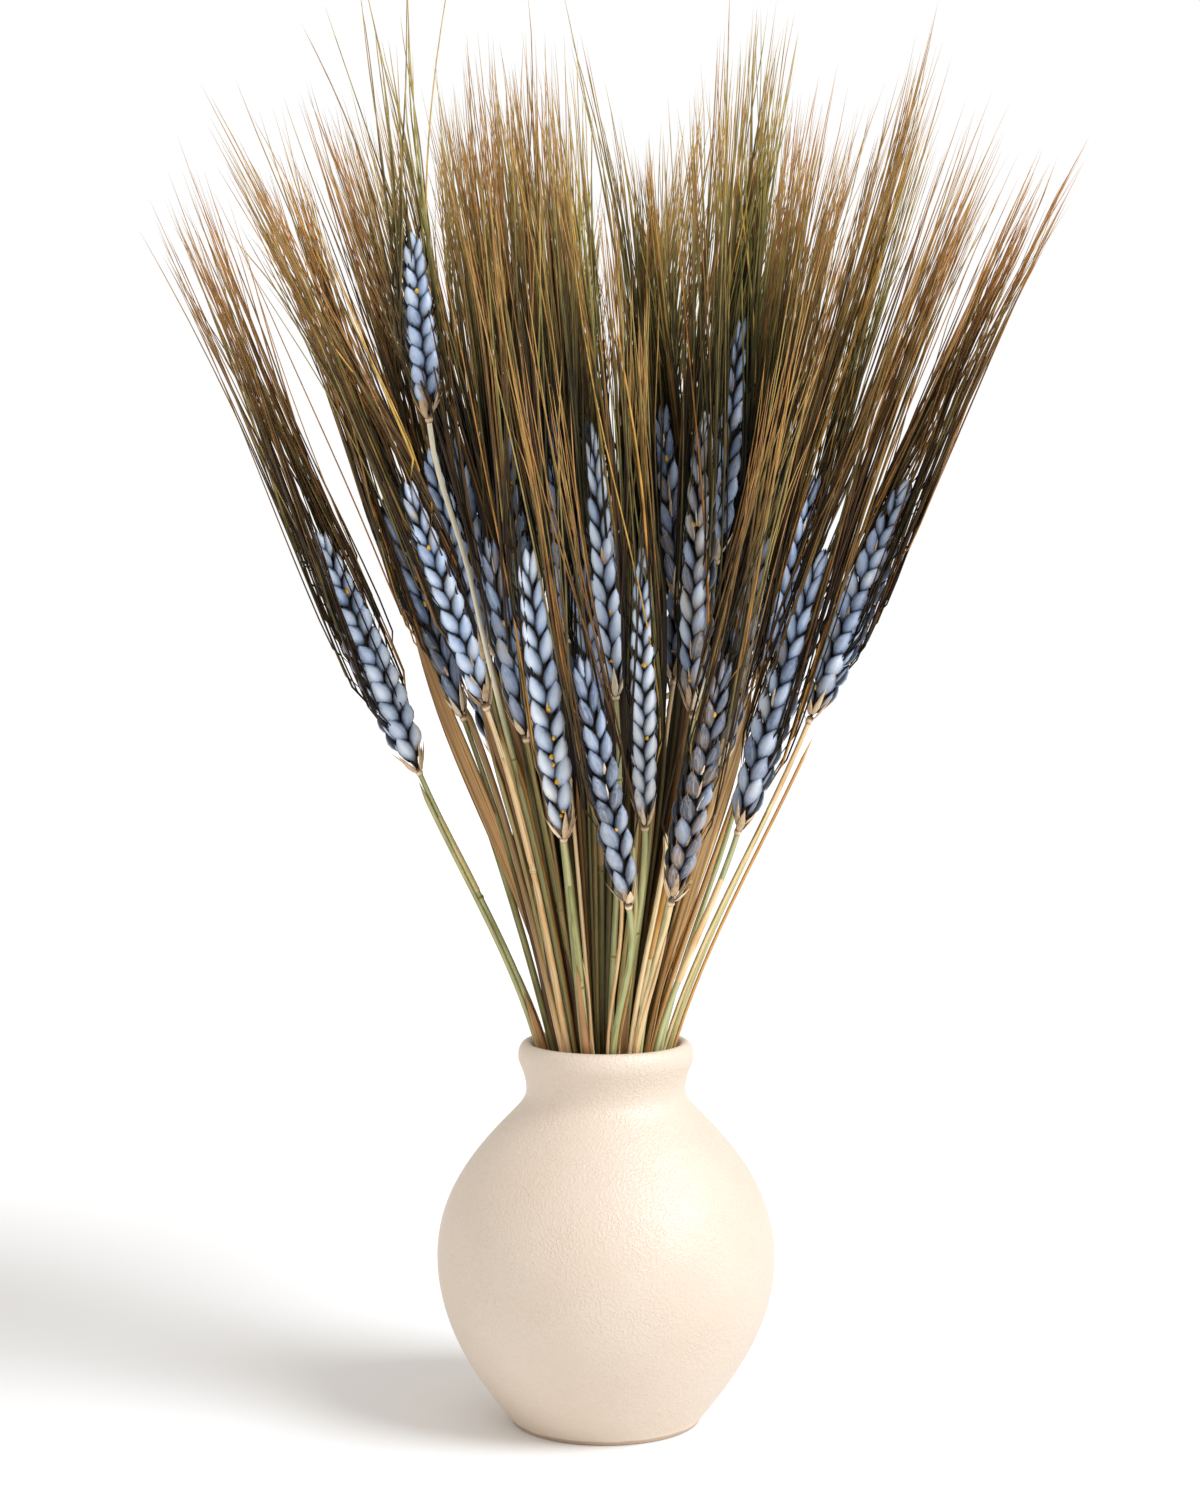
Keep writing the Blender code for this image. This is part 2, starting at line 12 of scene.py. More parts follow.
import bpy
import numpy as np
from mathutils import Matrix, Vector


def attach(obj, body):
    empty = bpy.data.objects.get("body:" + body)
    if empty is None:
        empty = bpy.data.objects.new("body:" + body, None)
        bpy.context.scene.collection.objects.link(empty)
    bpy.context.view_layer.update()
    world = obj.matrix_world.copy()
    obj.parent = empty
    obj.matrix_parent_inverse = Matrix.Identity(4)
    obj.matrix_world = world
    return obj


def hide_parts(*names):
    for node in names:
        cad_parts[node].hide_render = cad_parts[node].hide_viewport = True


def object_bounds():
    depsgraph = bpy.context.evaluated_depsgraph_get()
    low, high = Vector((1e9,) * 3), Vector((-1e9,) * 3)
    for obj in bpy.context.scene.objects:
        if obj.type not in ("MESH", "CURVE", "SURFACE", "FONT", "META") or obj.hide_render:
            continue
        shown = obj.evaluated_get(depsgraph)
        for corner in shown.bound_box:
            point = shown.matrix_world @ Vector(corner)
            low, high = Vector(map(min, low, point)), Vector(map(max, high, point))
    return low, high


bl_info = {
    "name": "Vase of dried wheat",
    "version": (1, 0, 0),
    "blender": (4, 5, 0),
    "location": "View3D > Sidebar > Wheat vase",
    "description": "A cream ceramic vase with slate-blue bearded wheat, one operator for each kind of piece",
    "category": "Add Mesh",
}

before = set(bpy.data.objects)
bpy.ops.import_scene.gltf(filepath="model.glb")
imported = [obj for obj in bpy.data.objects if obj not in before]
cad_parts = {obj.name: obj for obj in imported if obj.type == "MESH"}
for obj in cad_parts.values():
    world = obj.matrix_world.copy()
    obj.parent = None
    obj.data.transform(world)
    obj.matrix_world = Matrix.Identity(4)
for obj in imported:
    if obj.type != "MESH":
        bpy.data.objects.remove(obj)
CAD_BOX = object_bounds()
BODY = "root"

# Seeds: the first one places the back stalks and is the solid model's own
LAYOUT_SEED = 11
STEM_SEED, LEAF_SEED, EAR_SEED, AWN_SEED = 21, 22, 23, 24

# Vase: points of its outside, the reach of the curve's handles there, and the rolled lip
VASE_STEPS = 160
FOOT_RADIUS, FOOT_ROUND = 0.0308, 0.0010
BELLY_RADIUS, BELLY_HEIGHT, BELLY_HANDLE = 0.0550, 0.0544, 0.0200
FOOT_FLARE = (0.0131, 0.0160)
SHOULDER_RADIUS, SHOULDER_HEIGHT, SHOULDER_HANDLE = 0.0312, 0.1006, 0.0120
NECK_RADIUS, NECK_HEIGHT, NECK_HANDLE = 0.0258, 0.1095, 0.0030
LIP_HEIGHT, LIP_MIDDLE, LIP_HALF_WIDTH, LIP_HALF_HEIGHT = 0.1203, 0.0258, 0.0026, 0.0044
LIP_ARC = (-35.0, 205.0)
WALL, FLOOR_HEIGHT, HOLLOW = 0.0034, 0.0060, 0.0008

# Brown line round the vase's foot: the heights between which it fades out, and how much they waver
FOOT_LINE, FOOT_LINE_SWAY = (0.0006, 0.0011), 0.0012

# Direction to the viewer, and how far along its streaks a shell's grain may start
FRONT = (0.0, -1.0, 0.0)
GRAIN_REACH = 9.0

# Stems
STEM_SIDES = 10
STEM_SLIMNESS = 0.78
STEM_RIBS = 3.0
STEM_TOP_RADIUS, STEM_MOUTH_RADIUS, STEM_FOOT_RADIUS = 0.00088, 0.00138, 0.00150
GAP = 0.0003
FAN_HEIGHT = 0.0680
FAN_CENTRE = np.array([0.0, 0.0, FAN_HEIGHT])
MOUTH_CLEAR_RADIUS = 0.0199
STEM_SPACING, STEM_WAIST, STEM_SPREAD = 0.0052, 0.82, 1.08
STEM_TWIST = math.radians(60.0)
SPREADING_ROUNDS, SPREADING_SHARE = 400, 0.25
ENTRY_SHARE = 0.06
DEPTH_SHARES = (0.10, 0.20, 0.32, 0.46, 0.62, 0.78, 0.92)
FOOT_OVERLAP, FOOT_STEP = 0.35, 0.0007
STEPS_ABOVE = 22
STEM_TOP_HEIGHT, TALL_STEM, TONE_CHANGE = 0.26, 0.235, 0.02

# Swollen nodes of the stems: the heights of the lower ones, how far above them the upper ones of tall stems
# are, the share of the stems that have each, their length, and their girth and tone along it
NODE_HEIGHTS, UPPER_NODE_RISE = (0.140, 0.185), (0.045, 0.060)
NODE_SHARE, UPPER_NODE_SHARE, NODE_LENGTH = 0.55, 0.4, 0.0030
NODE_SWELL = np.array([0.9, 1.08, 1.22, 1.26, 1.18, 1.04, 0.9])
NODE_TONES = np.array([0.0, 0.10, 0.14, -0.10, -0.24, -0.16, 0.0, 0.0, 0.0])

# Sheaths that wrap a stem above its lower node: the share of the stems that have one, its length, the least
# length that is drawn, what it leaves free below the ear, and its tone against the stem's
SHEATH_SHARE, SHEATH_LENGTHS, SHEATH_LEAST, SHEATH_CLEAR = 0.40, (0.030, 0.062), 0.015, 0.012
SHEATH_TONES = (-0.20, 0.30)

# Loose straws beside a stem: their number, the height of their foot, their steps and their radii; the stems
# that stand apart and have none, counted from 0; and the tones of straw and their colours
LOOSE_STRAWS, STRAW_FOOT, STRAW_STEPS, STRAW_RADII = 6, 0.030, 20, (0.0005, 0.0010)
OUTLYING = {0, 8, 10, 12, 16, 19, 20}
STRAW_TONES = (0.16, 0.30, 0.44, 0.52, 0.66, 0.80, 0.88, 0.98)
STRAW_STOPS = (
    (0.0, (0.050, 0.024, 0.008)), (0.14, (0.21, 0.105, 0.035)), (0.28, (0.22, 0.19, 0.055)),
    (0.42, (0.36, 0.39, 0.155)), (0.52, (0.50, 0.51, 0.26)), (0.64, (0.64, 0.55, 0.24)),
    (0.76, (0.95, 0.73, 0.43)), (0.86, (0.82, 0.50, 0.22)), (1.0, (0.60, 0.28, 0.060)),
)

# Leaves, and the ranges and tones that the narrow ones are drawn from
LEAF_STEPS, LEAF_SIDES, LEAF_HALF_THICKNESS = 16, 8, 0.00022
NARROW_HEIGHTS, NARROW_LENGTHS, NARROW_HALF_WIDTHS = (0.085, 0.125), (0.035, 0.075), (0.0007, 0.0016)
NARROW_CURLS, NARROW_TONES = (-0.6, 0.9), (0.28, 0.42, 0.55, 0.70, 0.85)

# Bunch, taken as an ellipse that widens upwards: its radius at the mouth, how much it widens to the sides
# and to front and back for each unit of height, the shares of it between which the painted shade of its
# middle lightens, and the heights between which that painted shade fades out
BUNCH_RADIUS, BUNCH_SIDE_SLOPE, BUNCH_DEPTH_SLOPE = 0.0200, 0.43, 0.36
BUNCH_SHARES = (0.40, 0.92)
BUNCH_LIT_HEIGHTS = (0.310, 0.400)

# Ears
COLUMNS = 4
NECK_LENGTH, APEX_LENGTH = 0.0050, 0.0050
EAR_WIDEST, EAR_BASE_TAPER, EAR_TIP_TAPER = 0.35, 0.42, 0.52
BRACTS, ANTHERS, GOLDEN_ANTHERS = 8, 2, 9

# Places of the rings along a floret, and the heights between which the warm painted tint of light on the
# florets turns to a cool one
FLORET_SHARES = np.array([0.0, 0.05, 0.18, 0.34, 0.50, 0.67, 0.83, 0.95, 1.03])
LIGHT_TINT_HEIGHTS = (0.19, 0.26)

# Collar under an ear: the heights of its rings from the ear's foot, and its girth and its tone along it
COLLAR_HEIGHTS = np.array([-0.0012, -0.0009, -0.0003, 0.0002, 0.0008, 0.0016, 0.0020])
COLLAR_SWELL = np.array([1.02, 1.30, 1.42, 1.30, 1.12])
COLLAR_TONES = np.array([0.5, 0.55, 0.85, 0.90, 0.45, 0.30, 0.30])

# Awns: AWN_REACH is how far beyond the ear's tip they end, at least, most often and at most
AWN_STEPS = 13
AWN_REACH = (0.055, 0.112, 0.148)
FAN_RADIUS = (0.350, 0.405)
FAN_SIDE_LOSS = 0.6
AWN_SWEEP = 0.10
WILD_AWNS, WILD_SPREAD = 0.03, 2.0
AWN_TUFTS, TUFT_PULL, TUFT_LIKENESS, TUFT_REACH = 11, 0.50, 0.38, 0.45
BACK_AWNS, BACK_SPREAD = 1.10, 1.6
BOX_MARGIN = 0.006

# Dip in the middle of the fan's top: its place, its half width, and the share that it takes off the awns
DIP_PLACE, DIP_HALF_WIDTH, DIP_DEPTH = 0.008, 0.014, 0.34

# Ears whose awns are longer than the others': the ear's number and how much
LONG_AWNS = {14: 1.08, 16: 0.92, 18: 1.10, 19: 1.14, 20: 1.06}

# Ears that face the viewer: x, y and z of the ear's foot, the ear's length and its radius, all in
# millimetres, then in degrees its lean to the right, its lean to the front and its turn round its axis.
FRONT_EARS = (
    (-60, -2, 212, 83, 7.0, -23, 3, 30),
    (-55, -28, 324, 57, 5.6, -5, 6, 10),
    (-37, -38, 235, 74, 5.5, -19, 13, 8),
    (-39, -8, 248, 69, 5.7, -14, 3, -5),
    (-46, 4, 229, 74, 5.2, -20, -2, 20),
    (-25, 6, 254, 66, 5.2, -6, 0, -10),
    (-11, -8, 255, 71, 5.2, -5, 3, 5),
    (-25, -22, 224, 64, 5.2, -11, 9, 15),
    (-13, -46, 195, 93, 6.2, -7, 17, 4),
    (3, -32, 238, 85, 5.0, -5, 11, -4),
    (7, -45, 174, 83, 5.8, -11, 19, 14),
    (-3, -18, 221, 69, 5.2, -4, 6, -12),
    (12, -42, 198, 90, 5.0, -1, 16, 0),
    (23, 5, 267, 62, 5.2, -5, -3, 8),
    (27, -31, 232, 94, 5.6, 2, 10, -30),
    (35, -10, 280, 75, 5.4, 5, 5, 10),
    (20, -44, 175, 80, 5.8, 11, 17, 20),
    (35, -18, 213, 76, 5.2, 11, 7, -15),
    (49, -4, 241, 67, 5.4, 14, 4, 25),
    (41, -34, 196, 92, 6.2, 16, 12, -30),
    (65, -6, 229, 82, 6.6, 22, 4, -35),
    (35, 3, 228, 74, 5.2, 9, 0, 12),
)

# Looks of the same ears: floret brightness, part of which is painted shade on ears deep in the bunch and
# painted light on shaded front ears, and which also sets how much painted light their stems get; share of
# brown husk, awn hue from brown to olive, and the tone of the stem at its foot and under the ear, from brown
# over green to straw and orange-tan.
FRONT_LOOKS = (
    (0.80, 0.06, 0.15, 0.46, 0.50), (0.68, 0.02, 0.60, 0.48, 0.76), (0.74, 0.16, 0.30, 0.84, 0.78),
    (0.62, 0.06, 0.25, 0.30, 0.34), (0.20, 0.20, 0.25, 0.16, 0.50), (0.26, 0.25, 0.35, 0.34, 0.30),
    (0.30, 0.25, 0.45, 0.50, 0.42), (0.48, 0.28, 0.20, 0.66, 0.64), (0.88, 0.04, 0.30, 0.50, 0.56),
    (1.00, 0.10, 0.70, 0.50, 0.48), (0.42, 0.16, 0.20, 0.46, 0.60), (0.46, 0.18, 0.50, 0.52, 0.46),
    (0.96, 0.04, 0.60, 0.48, 0.56), (0.34, 0.35, 0.75, 0.60, 0.40), (0.62, 0.58, 0.70, 0.74, 0.50),
    (0.46, 0.22, 0.85, 0.48, 0.40), (0.26, 0.52, 0.35, 0.72, 0.62), (0.32, 0.40, 0.25, 0.90, 0.84),
    (0.50, 0.20, 0.55, 0.88, 0.84), (0.58, 0.04, 0.20, 0.54, 0.50), (0.66, 0.10, 0.10, 0.60, 0.82),
    (0.28, 0.30, 0.50, 0.30, 0.34),
)

# Arcs of ears behind them: number, tilt from upright in degrees, distance of the ear's foot from the
# point that the stalks fan out from, and the arc's first and last bearing in degrees, 90 being the back.
BACK_ARCS = (
    (6, 21.0, 0.158, 50.0, 130.0),
    (6, 13.5, 0.182, 35.0, 145.0),
    (2, 6.5, 0.155, 60.0, 120.0),
)
BACK_LENGTH = (0.068, 0.082)
BACK_RADIUS = 0.0055
BACK_TURN = math.radians(45.0)
BACK_JITTER = 0.006

# Lowest and highest of each look of the back ears, whose low floret brightness is partly painted shade
BACK_LOOKS = ((0.40, 0.66), (0.10, 0.45), (0.1, 0.9), (0.20, 0.95), (0.25, 0.90))

# Broad dry leaves: the number of the ear whose stem carries the leaf, the height where the leaf leaves it,
# the leaf's tip and its half width in millimetres, its tone, and the bearing that its flat side faces.
LEAVES = (
    (5, 0.150, (-63, 4, 262), 3, 0.60, -100),
    (6, 0.145, (-42, 4, 262), 3.4, 0.50, -80),
    (5, 0.150, (-33, 12, 252), 3, 0.34, -70),
    (4, 0.150, (-41, 2, 241), 2.8, 0.44, -95),
    (18, 0.142, (47, -2, 240), 3.8, 0.74, -85),
    (22, 0.150, (37, -8, 226), 2.8, 0.68, -85),
    (25, 0.160, (21, 64, 250), 3.4, 0.50, 80),
    (27, 0.150, (-38, 60, 244), 3.2, 0.62, 110),
    # The last seven are wide dark leaves deep in the bunch, which also stand there as painted shade
    (7, 0.125, (-16, 2, 305), 6.5, 0.20, -90),
    (12, 0.125, (2, 4, 300), 6.5, 0.30, -90),
    (14, 0.125, (17, 6, 310), 6.5, 0.22, -90),
    (22, 0.125, (36, 8, 300), 6, 0.26, -80),
    (6, 0.125, (-34, 10, 300), 6, 0.26, -100),
    (35, 0.125, (-8, 22, 300), 6.5, 0.24, 90),
    (36, 0.125, (14, 20, 300), 6.5, 0.30, 90),
)

# Bare straws without an ear: the number of the ear whose stem they stand beside, the straw's top in
# millimetres, its radius in millimetres, and its tone.
BARE_STRAWS = (
    (1, (-60.3, -2.8, 209.5), 0.75, 0.54),
    (5, (-66, 12, 268), 1.15, 0.36),
    (3, (-47, 6, 236), 1.1, 0.80),
    (9, (-15.5, -35, 212), 0.7, 0.46),
    (9, (-11, -36, 214), 0.6, 0.78),
    (11, (3, -33, 190), 0.6, 0.84),
    (11, (8.5, -34, 192), 0.7, 0.64),
    (13, (9.5, -31, 213), 0.7, 0.66),
    (13, (14.5, -30, 217), 0.7, 0.44),
    (17, (18.5, -34, 196), 0.8, 0.74),
    (17, (23, -33, 200), 0.8, 0.50),
    (20, (42, -25, 213), 0.8, 0.48),
    (18, (52, -4, 232), 0.9, 0.90),
    (21, (66.2, -7, 224), 0.55, 0.95),
    (21, (54, -10, 205), 0.7, 0.70),
    (24, (-30, 56, 236), 1, 0.80),
    (28, (34, 50, 240), 1, 0.54),
)

# Stems that differ: the ear's number, how much stouter its stem is above the mouth, the height where its
# lower tone gives way to the upper one, and how pale it is above that height
STEM_CARE = {2: (1.20, 0.226, 0.95)}

# Stems that are bent to the right between two heights: the ear's number, how far, and the heights
STEM_BENDS = {2: (0.0055, 0.150, 0.322)}
BEND_RISE, BEND_FALL = 0.06, 0.05

# Camera that the photograph was taken with, at the scale of the wheat
CAMERA_PLACE = (-0.0019, -0.956, 0.288)
CAMERA_PITCH = math.radians(4.1)
CAMERA_LENS, SENSOR, CAMERA_CLIP = 71.4, 36.0, (0.01, 50.0)

# Lights and floor
FILL_COLOUR = (1.0, 0.966, 0.925, 1.0)
KEY_COLOUR, KEY_DIRECTION, KEY_SIZE = (0.90, 0.945, 1.0), (0.86, -0.50, 0.86), math.radians(30.0)
FLOOR_REACH = 6.0

# Ears whose stems carry no narrow leaf
BARE_STEMS = {21}

# Ears that keep most of their golden anthers
GOLDEN_EARS = {9, 28}

# Ears whose florets stand closer along a column than the wheat's floret pitch: the ear's number and its pitch
PITCHES = {1: 0.0068, 2: 0.0062, 3: 0.0073, 4: 0.0072, 11: 0.0078, 13: 0.0074, 17: 0.0078, 21: 0.0071}

# Ears whose awns are fewer or stand aside, so that the ears behind them show: the ear's number, the share of
# its awns, how far their ends move right and back in millimetres, and how widely they spread.
AWN_CARE = {
    1: (1.00, 10, 0, 1.1), 2: (0.32, 0, 0, 1.7), 3: (0.60, -16, 22, 1),
    4: (0.85, -6, 26, 1), 5: (1.00, 12, 0, 1), 8: (0.20, 2, 28, 1),
    9: (0.30, 6, 6, 1), 10: (0.56, 0, 4, 1), 11: (0.28, 8, 8, 1),
    12: (0.80, 14, 14, 1.2), 13: (0.50, -7, 6, 1), 15: (0.62, -4, 0, 1),
    17: (0.36, 4, 8, 1), 18: (0.60, 4, 10, 1), 19: (1.00, -1, 0, 0.9),
    20: (1.00, 7, 4, 0.70), 21: (1.00, -1, 0, 0.7),
}

Stalk = namedtuple("Stalk", "foot along length radius turn")
Look = namedtuple("Look", "brightness warmth hue low_tone high_tone")
Shell = namedtuple("Shell", "points quads triangles marks grain finish")


# Arrays and paths


def unit(vectors):
    return vectors / np.linalg.norm(vectors, axis=-1, keepdims=True)


def smooth(share):
    """0 to 1 with level ends: 3 s^2 - 2 s^3."""
    share = np.clip(share, 0.0, 1.0)
    return share * share * (3.0 - 2.0 * share)


def daylight(points):
    """Painted light for a place in the bunch: 0 where its middle is painted in full shade, 1 at its outside
    and its top.
    """
    rise = np.clip(points[..., 2] - LIP_HEIGHT, 0.0, None)
    off = np.hypot(
        points[..., 0] / (BUNCH_RADIUS + BUNCH_SIDE_SLOPE * rise),
        points[..., 1] / (BUNCH_RADIUS + BUNCH_DEPTH_SLOPE * rise),
    )
    outside = smooth((off - BUNCH_SHARES[0]) / (BUNCH_SHARES[1] - BUNCH_SHARES[0]))
    low, high = BUNCH_LIT_HEIGHTS
    return np.maximum(outside, smooth((points[..., 2] - low) / (high - low)))


def cubic(start, first, second, end, shares):
    """Points of a cubic Bezier curve at the given parameters."""
    t = np.asarray(shares)[:, None]
    s = 1.0 - t
    return s ** 3 * start + 3 * s * s * t * first + 3 * s * t * t * second + t ** 3 * end


def front_stalks():
    """The ears that face the viewer, each leaning right and forward by its two angles."""
    stalks = []
    for x, y, z, length, radius, right, forward, turn in FRONT_EARS:
        foot = np.array([x, y, z]) / 1000.0
        along = unit(np.array([math.tan(math.radians(right)), -math.tan(math.radians(forward)), 1.0]))
        stalks.append(Stalk(foot, along, length / 1000.0, radius / 1000.0, math.radians(turn)))
    return stalks


def back_stalks(draw):
    """Ears on three arcs behind the front ones, each pointing away from the fan's centre."""
    stalks = []
    for count, tilt, distance, first, last in BACK_ARCS:
        for bearing in np.radians(np.linspace(first, last, count)):
            slope = math.radians(tilt)
            away = np.array([
                math.sin(slope) * math.cos(bearing), math.sin(slope) * math.sin(bearing), math.cos(slope),
            ])
            foot = FAN_CENTRE + away * (distance + draw.uniform(-BACK_JITTER, BACK_JITTER))
            length = draw.uniform(*BACK_LENGTH)
            stalks.append(Stalk(foot, away, length, BACK_RADIUS, draw.uniform(-BACK_TURN, BACK_TURN)))
    return stalks


def mouth_points(stalks):
    """Where each stem crosses the mouth: on the line to the fan's centre, pushed apart inside the rim."""
    rise = LIP_HEIGHT - FAN_HEIGHT
    points = np.array([stalk.foot[:2] * rise / (stalk.foot[2] - FAN_HEIGHT) for stalk in stalks])
    for _ in range(SPREADING_ROUNDS):
        apart = points[:, None] - points[None]
        distance = np.linalg.norm(apart, axis=2)
        np.fill_diagonal(distance, 1.0)
        push = np.clip(STEM_SPACING - distance, 0.0, None) / distance
        points = points + SPREADING_SHARE * (push[:, :, None] * apart).sum(axis=1)
        radius = np.linalg.norm(points, axis=1, keepdims=True)
        points = points * np.minimum(1.0, MOUTH_CLEAR_RADIUS / radius)
    return points


def neighbour_pairs(points):
    """Pairs each stem with its nearest free neighbour, the most outlying stems first."""
    free = sorted(range(len(points)), key=lambda i: -np.linalg.norm(points[i]))
    pairs = []
    while free:
        one = free.pop(0)
        other = min(free, key=lambda i: np.linalg.norm(points[i] - points[one]))
        free.remove(other)
        pairs.append((one, other))
    return pairs


def inner_place(point, share):
    """A stem's place at a share of the depth: drawn in to a waist, spread again, and turned round."""
    depth = share * (LIP_HEIGHT - FLOOR_HEIGHT)
    ease = smooth(share)
    drawn_in = (1.0 - STEM_WAIST) * (1.0 - math.exp(-depth / (LIP_HEIGHT - FAN_HEIGHT) / (1.0 - STEM_WAIST)))
    turn = STEM_TWIST * ease
    x, y = point * (1.0 - drawn_in + (STEM_SPREAD - STEM_WAIST) * ease)
    return np.array([
        x * math.cos(turn) - y * math.sin(turn), x * math.sin(turn) + y * math.cos(turn), LIP_HEIGHT - depth,
    ])


def stem_path(stalk, point, partner, foot_lift):
    """Points from the stem's foot beside its partner's to its top, just under its ear."""
    top = stalk.foot - stalk.along * GAP
    mouth = np.array([point[0], point[1], LIP_HEIGHT])
    below = inner_place(point, ENTRY_SHARE) - mouth
    third = np.linalg.norm(top - mouth) / 3.0
    shares = np.linspace(0.0, 1.0, STEPS_ABOVE + 1)
    above = cubic(top, top - stalk.along * third, mouth - unit(below) * third, mouth, shares)
    inside = [inner_place(point, share) for share in DEPTH_SHARES]
    own, other = inner_place(point, 1.0), inner_place(partner, 1.0)
    end = (own + other) / 2.0 + unit(own - other) * STEM_FOOT_RADIUS * FOOT_OVERLAP
    end[2] = FLOOR_HEIGHT + GAP + foot_lift
    return np.concatenate([above, inside, [end]])[::-1]


def layout():
    """All stalks, their looks, the paths of their stems from the foot up, and which stems are pairs."""
    draw = random.Random(LAYOUT_SEED)
    stalks = front_stalks() + back_stalks(draw)
    looks = [Look(*values) for values in FRONT_LOOKS]
    while len(looks) < len(stalks):
        looks.append(Look(*[draw.uniform(low, high) for low, high in BACK_LOOKS]))
    mouth = mouth_points(stalks)
    pairs = neighbour_pairs(mouth)
    paths = [None] * len(stalks)
    for one, other in pairs:
        paths[one] = stem_path(stalks[one], mouth[one], mouth[other], 0.0)
        paths[other] = stem_path(stalks[other], mouth[other], mouth[one], FOOT_STEP)
    for ear, (reach, low, high) in STEM_BENDS.items():
        heights = paths[ear - 1][:, 2]
        rise, fall = smooth((heights - low) / BEND_RISE), smooth((high - heights) / BEND_FALL)
        paths[ear - 1][:, 0] += reach * rise * fall
    return stalks, looks, paths, pairs


STALKS, LOOKS, STEM_PATHS, PAIRS = layout()


# Shells


def ring_section(sides, flat=1.0, keel=0.0):
    """Points round a ring: cos a and sin a, with the under half pressed flat and the top raised to a keel."""
    angle = 2.0 * math.pi * np.arange(sides) / sides
    x, y = np.cos(angle), np.sin(angle)
    return np.stack([x, np.where(y < 0.0, y * flat, y + keel * y ** 6)], axis=1)


def skin(rings, starts, ends):
    """Closed shells through rings: quads between neighbouring rings, and a fan to a pole at each end.

    rings is units x rings x sides x 3, and starts and ends hold one pole for each unit.
    """
    count, steps, sides = rings.shape[:3]
    points = np.concatenate([starts[:, None], rings.reshape(count, steps * sides, 3), ends[:, None]], axis=1)
    side = np.arange(sides)
    after = (side + 1) % sides
    low = 1 + sides * np.arange(steps - 1)[:, None]
    quads = np.stack([low + side, low + after, low + sides + after, low + sides + side], axis=-1)
    last = 1 + sides * (steps - 1)
    fans = np.concatenate([
        np.stack([0 * side, 1 + after, 1 + side], axis=-1),
        np.stack([last + side, last + after, 0 * side + last + sides], axis=-1),
    ])
    base = (steps * sides + 2) * np.arange(count)[:, None, None]
    return points.reshape(-1, 3), (base + quads.reshape(-1, 4)).reshape(-1, 4), (base + fans).reshape(-1, 3)


def loft(path, facing, width, depth, section, finish, tone=0.5, warmth=0.0, shift=0.0, light=None):
    """Closed shells carried along one path or along many at once.

    A ring point is the path point + across * width * x + over * depth * y, where x and y are the section's,
    along is the path's direction, across is square to along and to facing, and over is square to both and
    nearest to facing. The first and last path points are poles. The points carry marks: tone, share of the
    length, how far they stand out or, where light is given, how much painted light reaches them, both of
    which the finishes turn into painted light and shade, and warmth. They carry their grain: offset across,
    offset over and length along the path, so that fibres follow the shape.
    """
    path = path.reshape(-1, *path.shape[-2:])
    count, steps = path.shape[:2]
    along = unit(np.gradient(path, axis=1))
    across = unit(np.cross(facing, along))
    over = np.cross(along, across)
    width, depth = [
        np.broadcast_to(size, (count, steps - 2))[..., None] * part
        for size, part in ((width, section[:, 0]), (depth, section[:, 1]))
    ]
    offset = across[:, 1:-1, None] * width[..., None]
    rings = path[:, 1:-1, None] + offset + over[:, 1:-1, None] * depth[..., None]
    reach = np.cumsum(np.linalg.norm(np.diff(path, axis=1), axis=2), axis=1)
    reach = np.concatenate([np.zeros((count, 1)), reach], axis=1)

    def ringed(rows):
        """A value for each path point, given to every point of its ring."""
        rows = np.broadcast_to(rows, (count, steps))
        inner = np.repeat(rows[:, 1:-1], len(section), axis=1)
        return np.concatenate([rows[:, :1], inner, rows[:, -1:]], axis=1)

    def capped(rows, pole):
        """A value for each point of the rings, with another one for the poles."""
        return np.pad(rows.reshape(count, -1), ((0, 0), (1, 1)), constant_values=pole)

    # Third mark: how far a point stands out, or the painted light given for it
    if light is None:
        standing_or_light = capped(np.tile(0.5 + 0.5 * section[:, 1], (count, steps - 2)), 0.5)
    else:
        standing_or_light = ringed(light)
    marks = np.stack([ringed(tone), ringed(reach / reach[:, -1:]), standing_or_light, ringed(warmth)], axis=-1)
    grain = np.stack([capped(width, 0.0), capped(depth, 0.0), ringed(reach + shift)], axis=-1)
    return Shell(*skin(rings, path[:, 0], path[:, -1]), marks.reshape(-1, 4), grain.reshape(-1, 3), finish)


def tube(path, size, finish, facing=FRONT, sides=STEM_SIDES, **looks):
    """Closed round shells of a radius, carried along paths."""
    return loft(path, facing, size, size, ring_section(sides), finish, **looks)


def any_shift(draw, count=1):
    """A place to start the grain at, so that no two shells have the same streaks."""
    return draw.uniform(0.0, GRAIN_REACH, (count, 1))


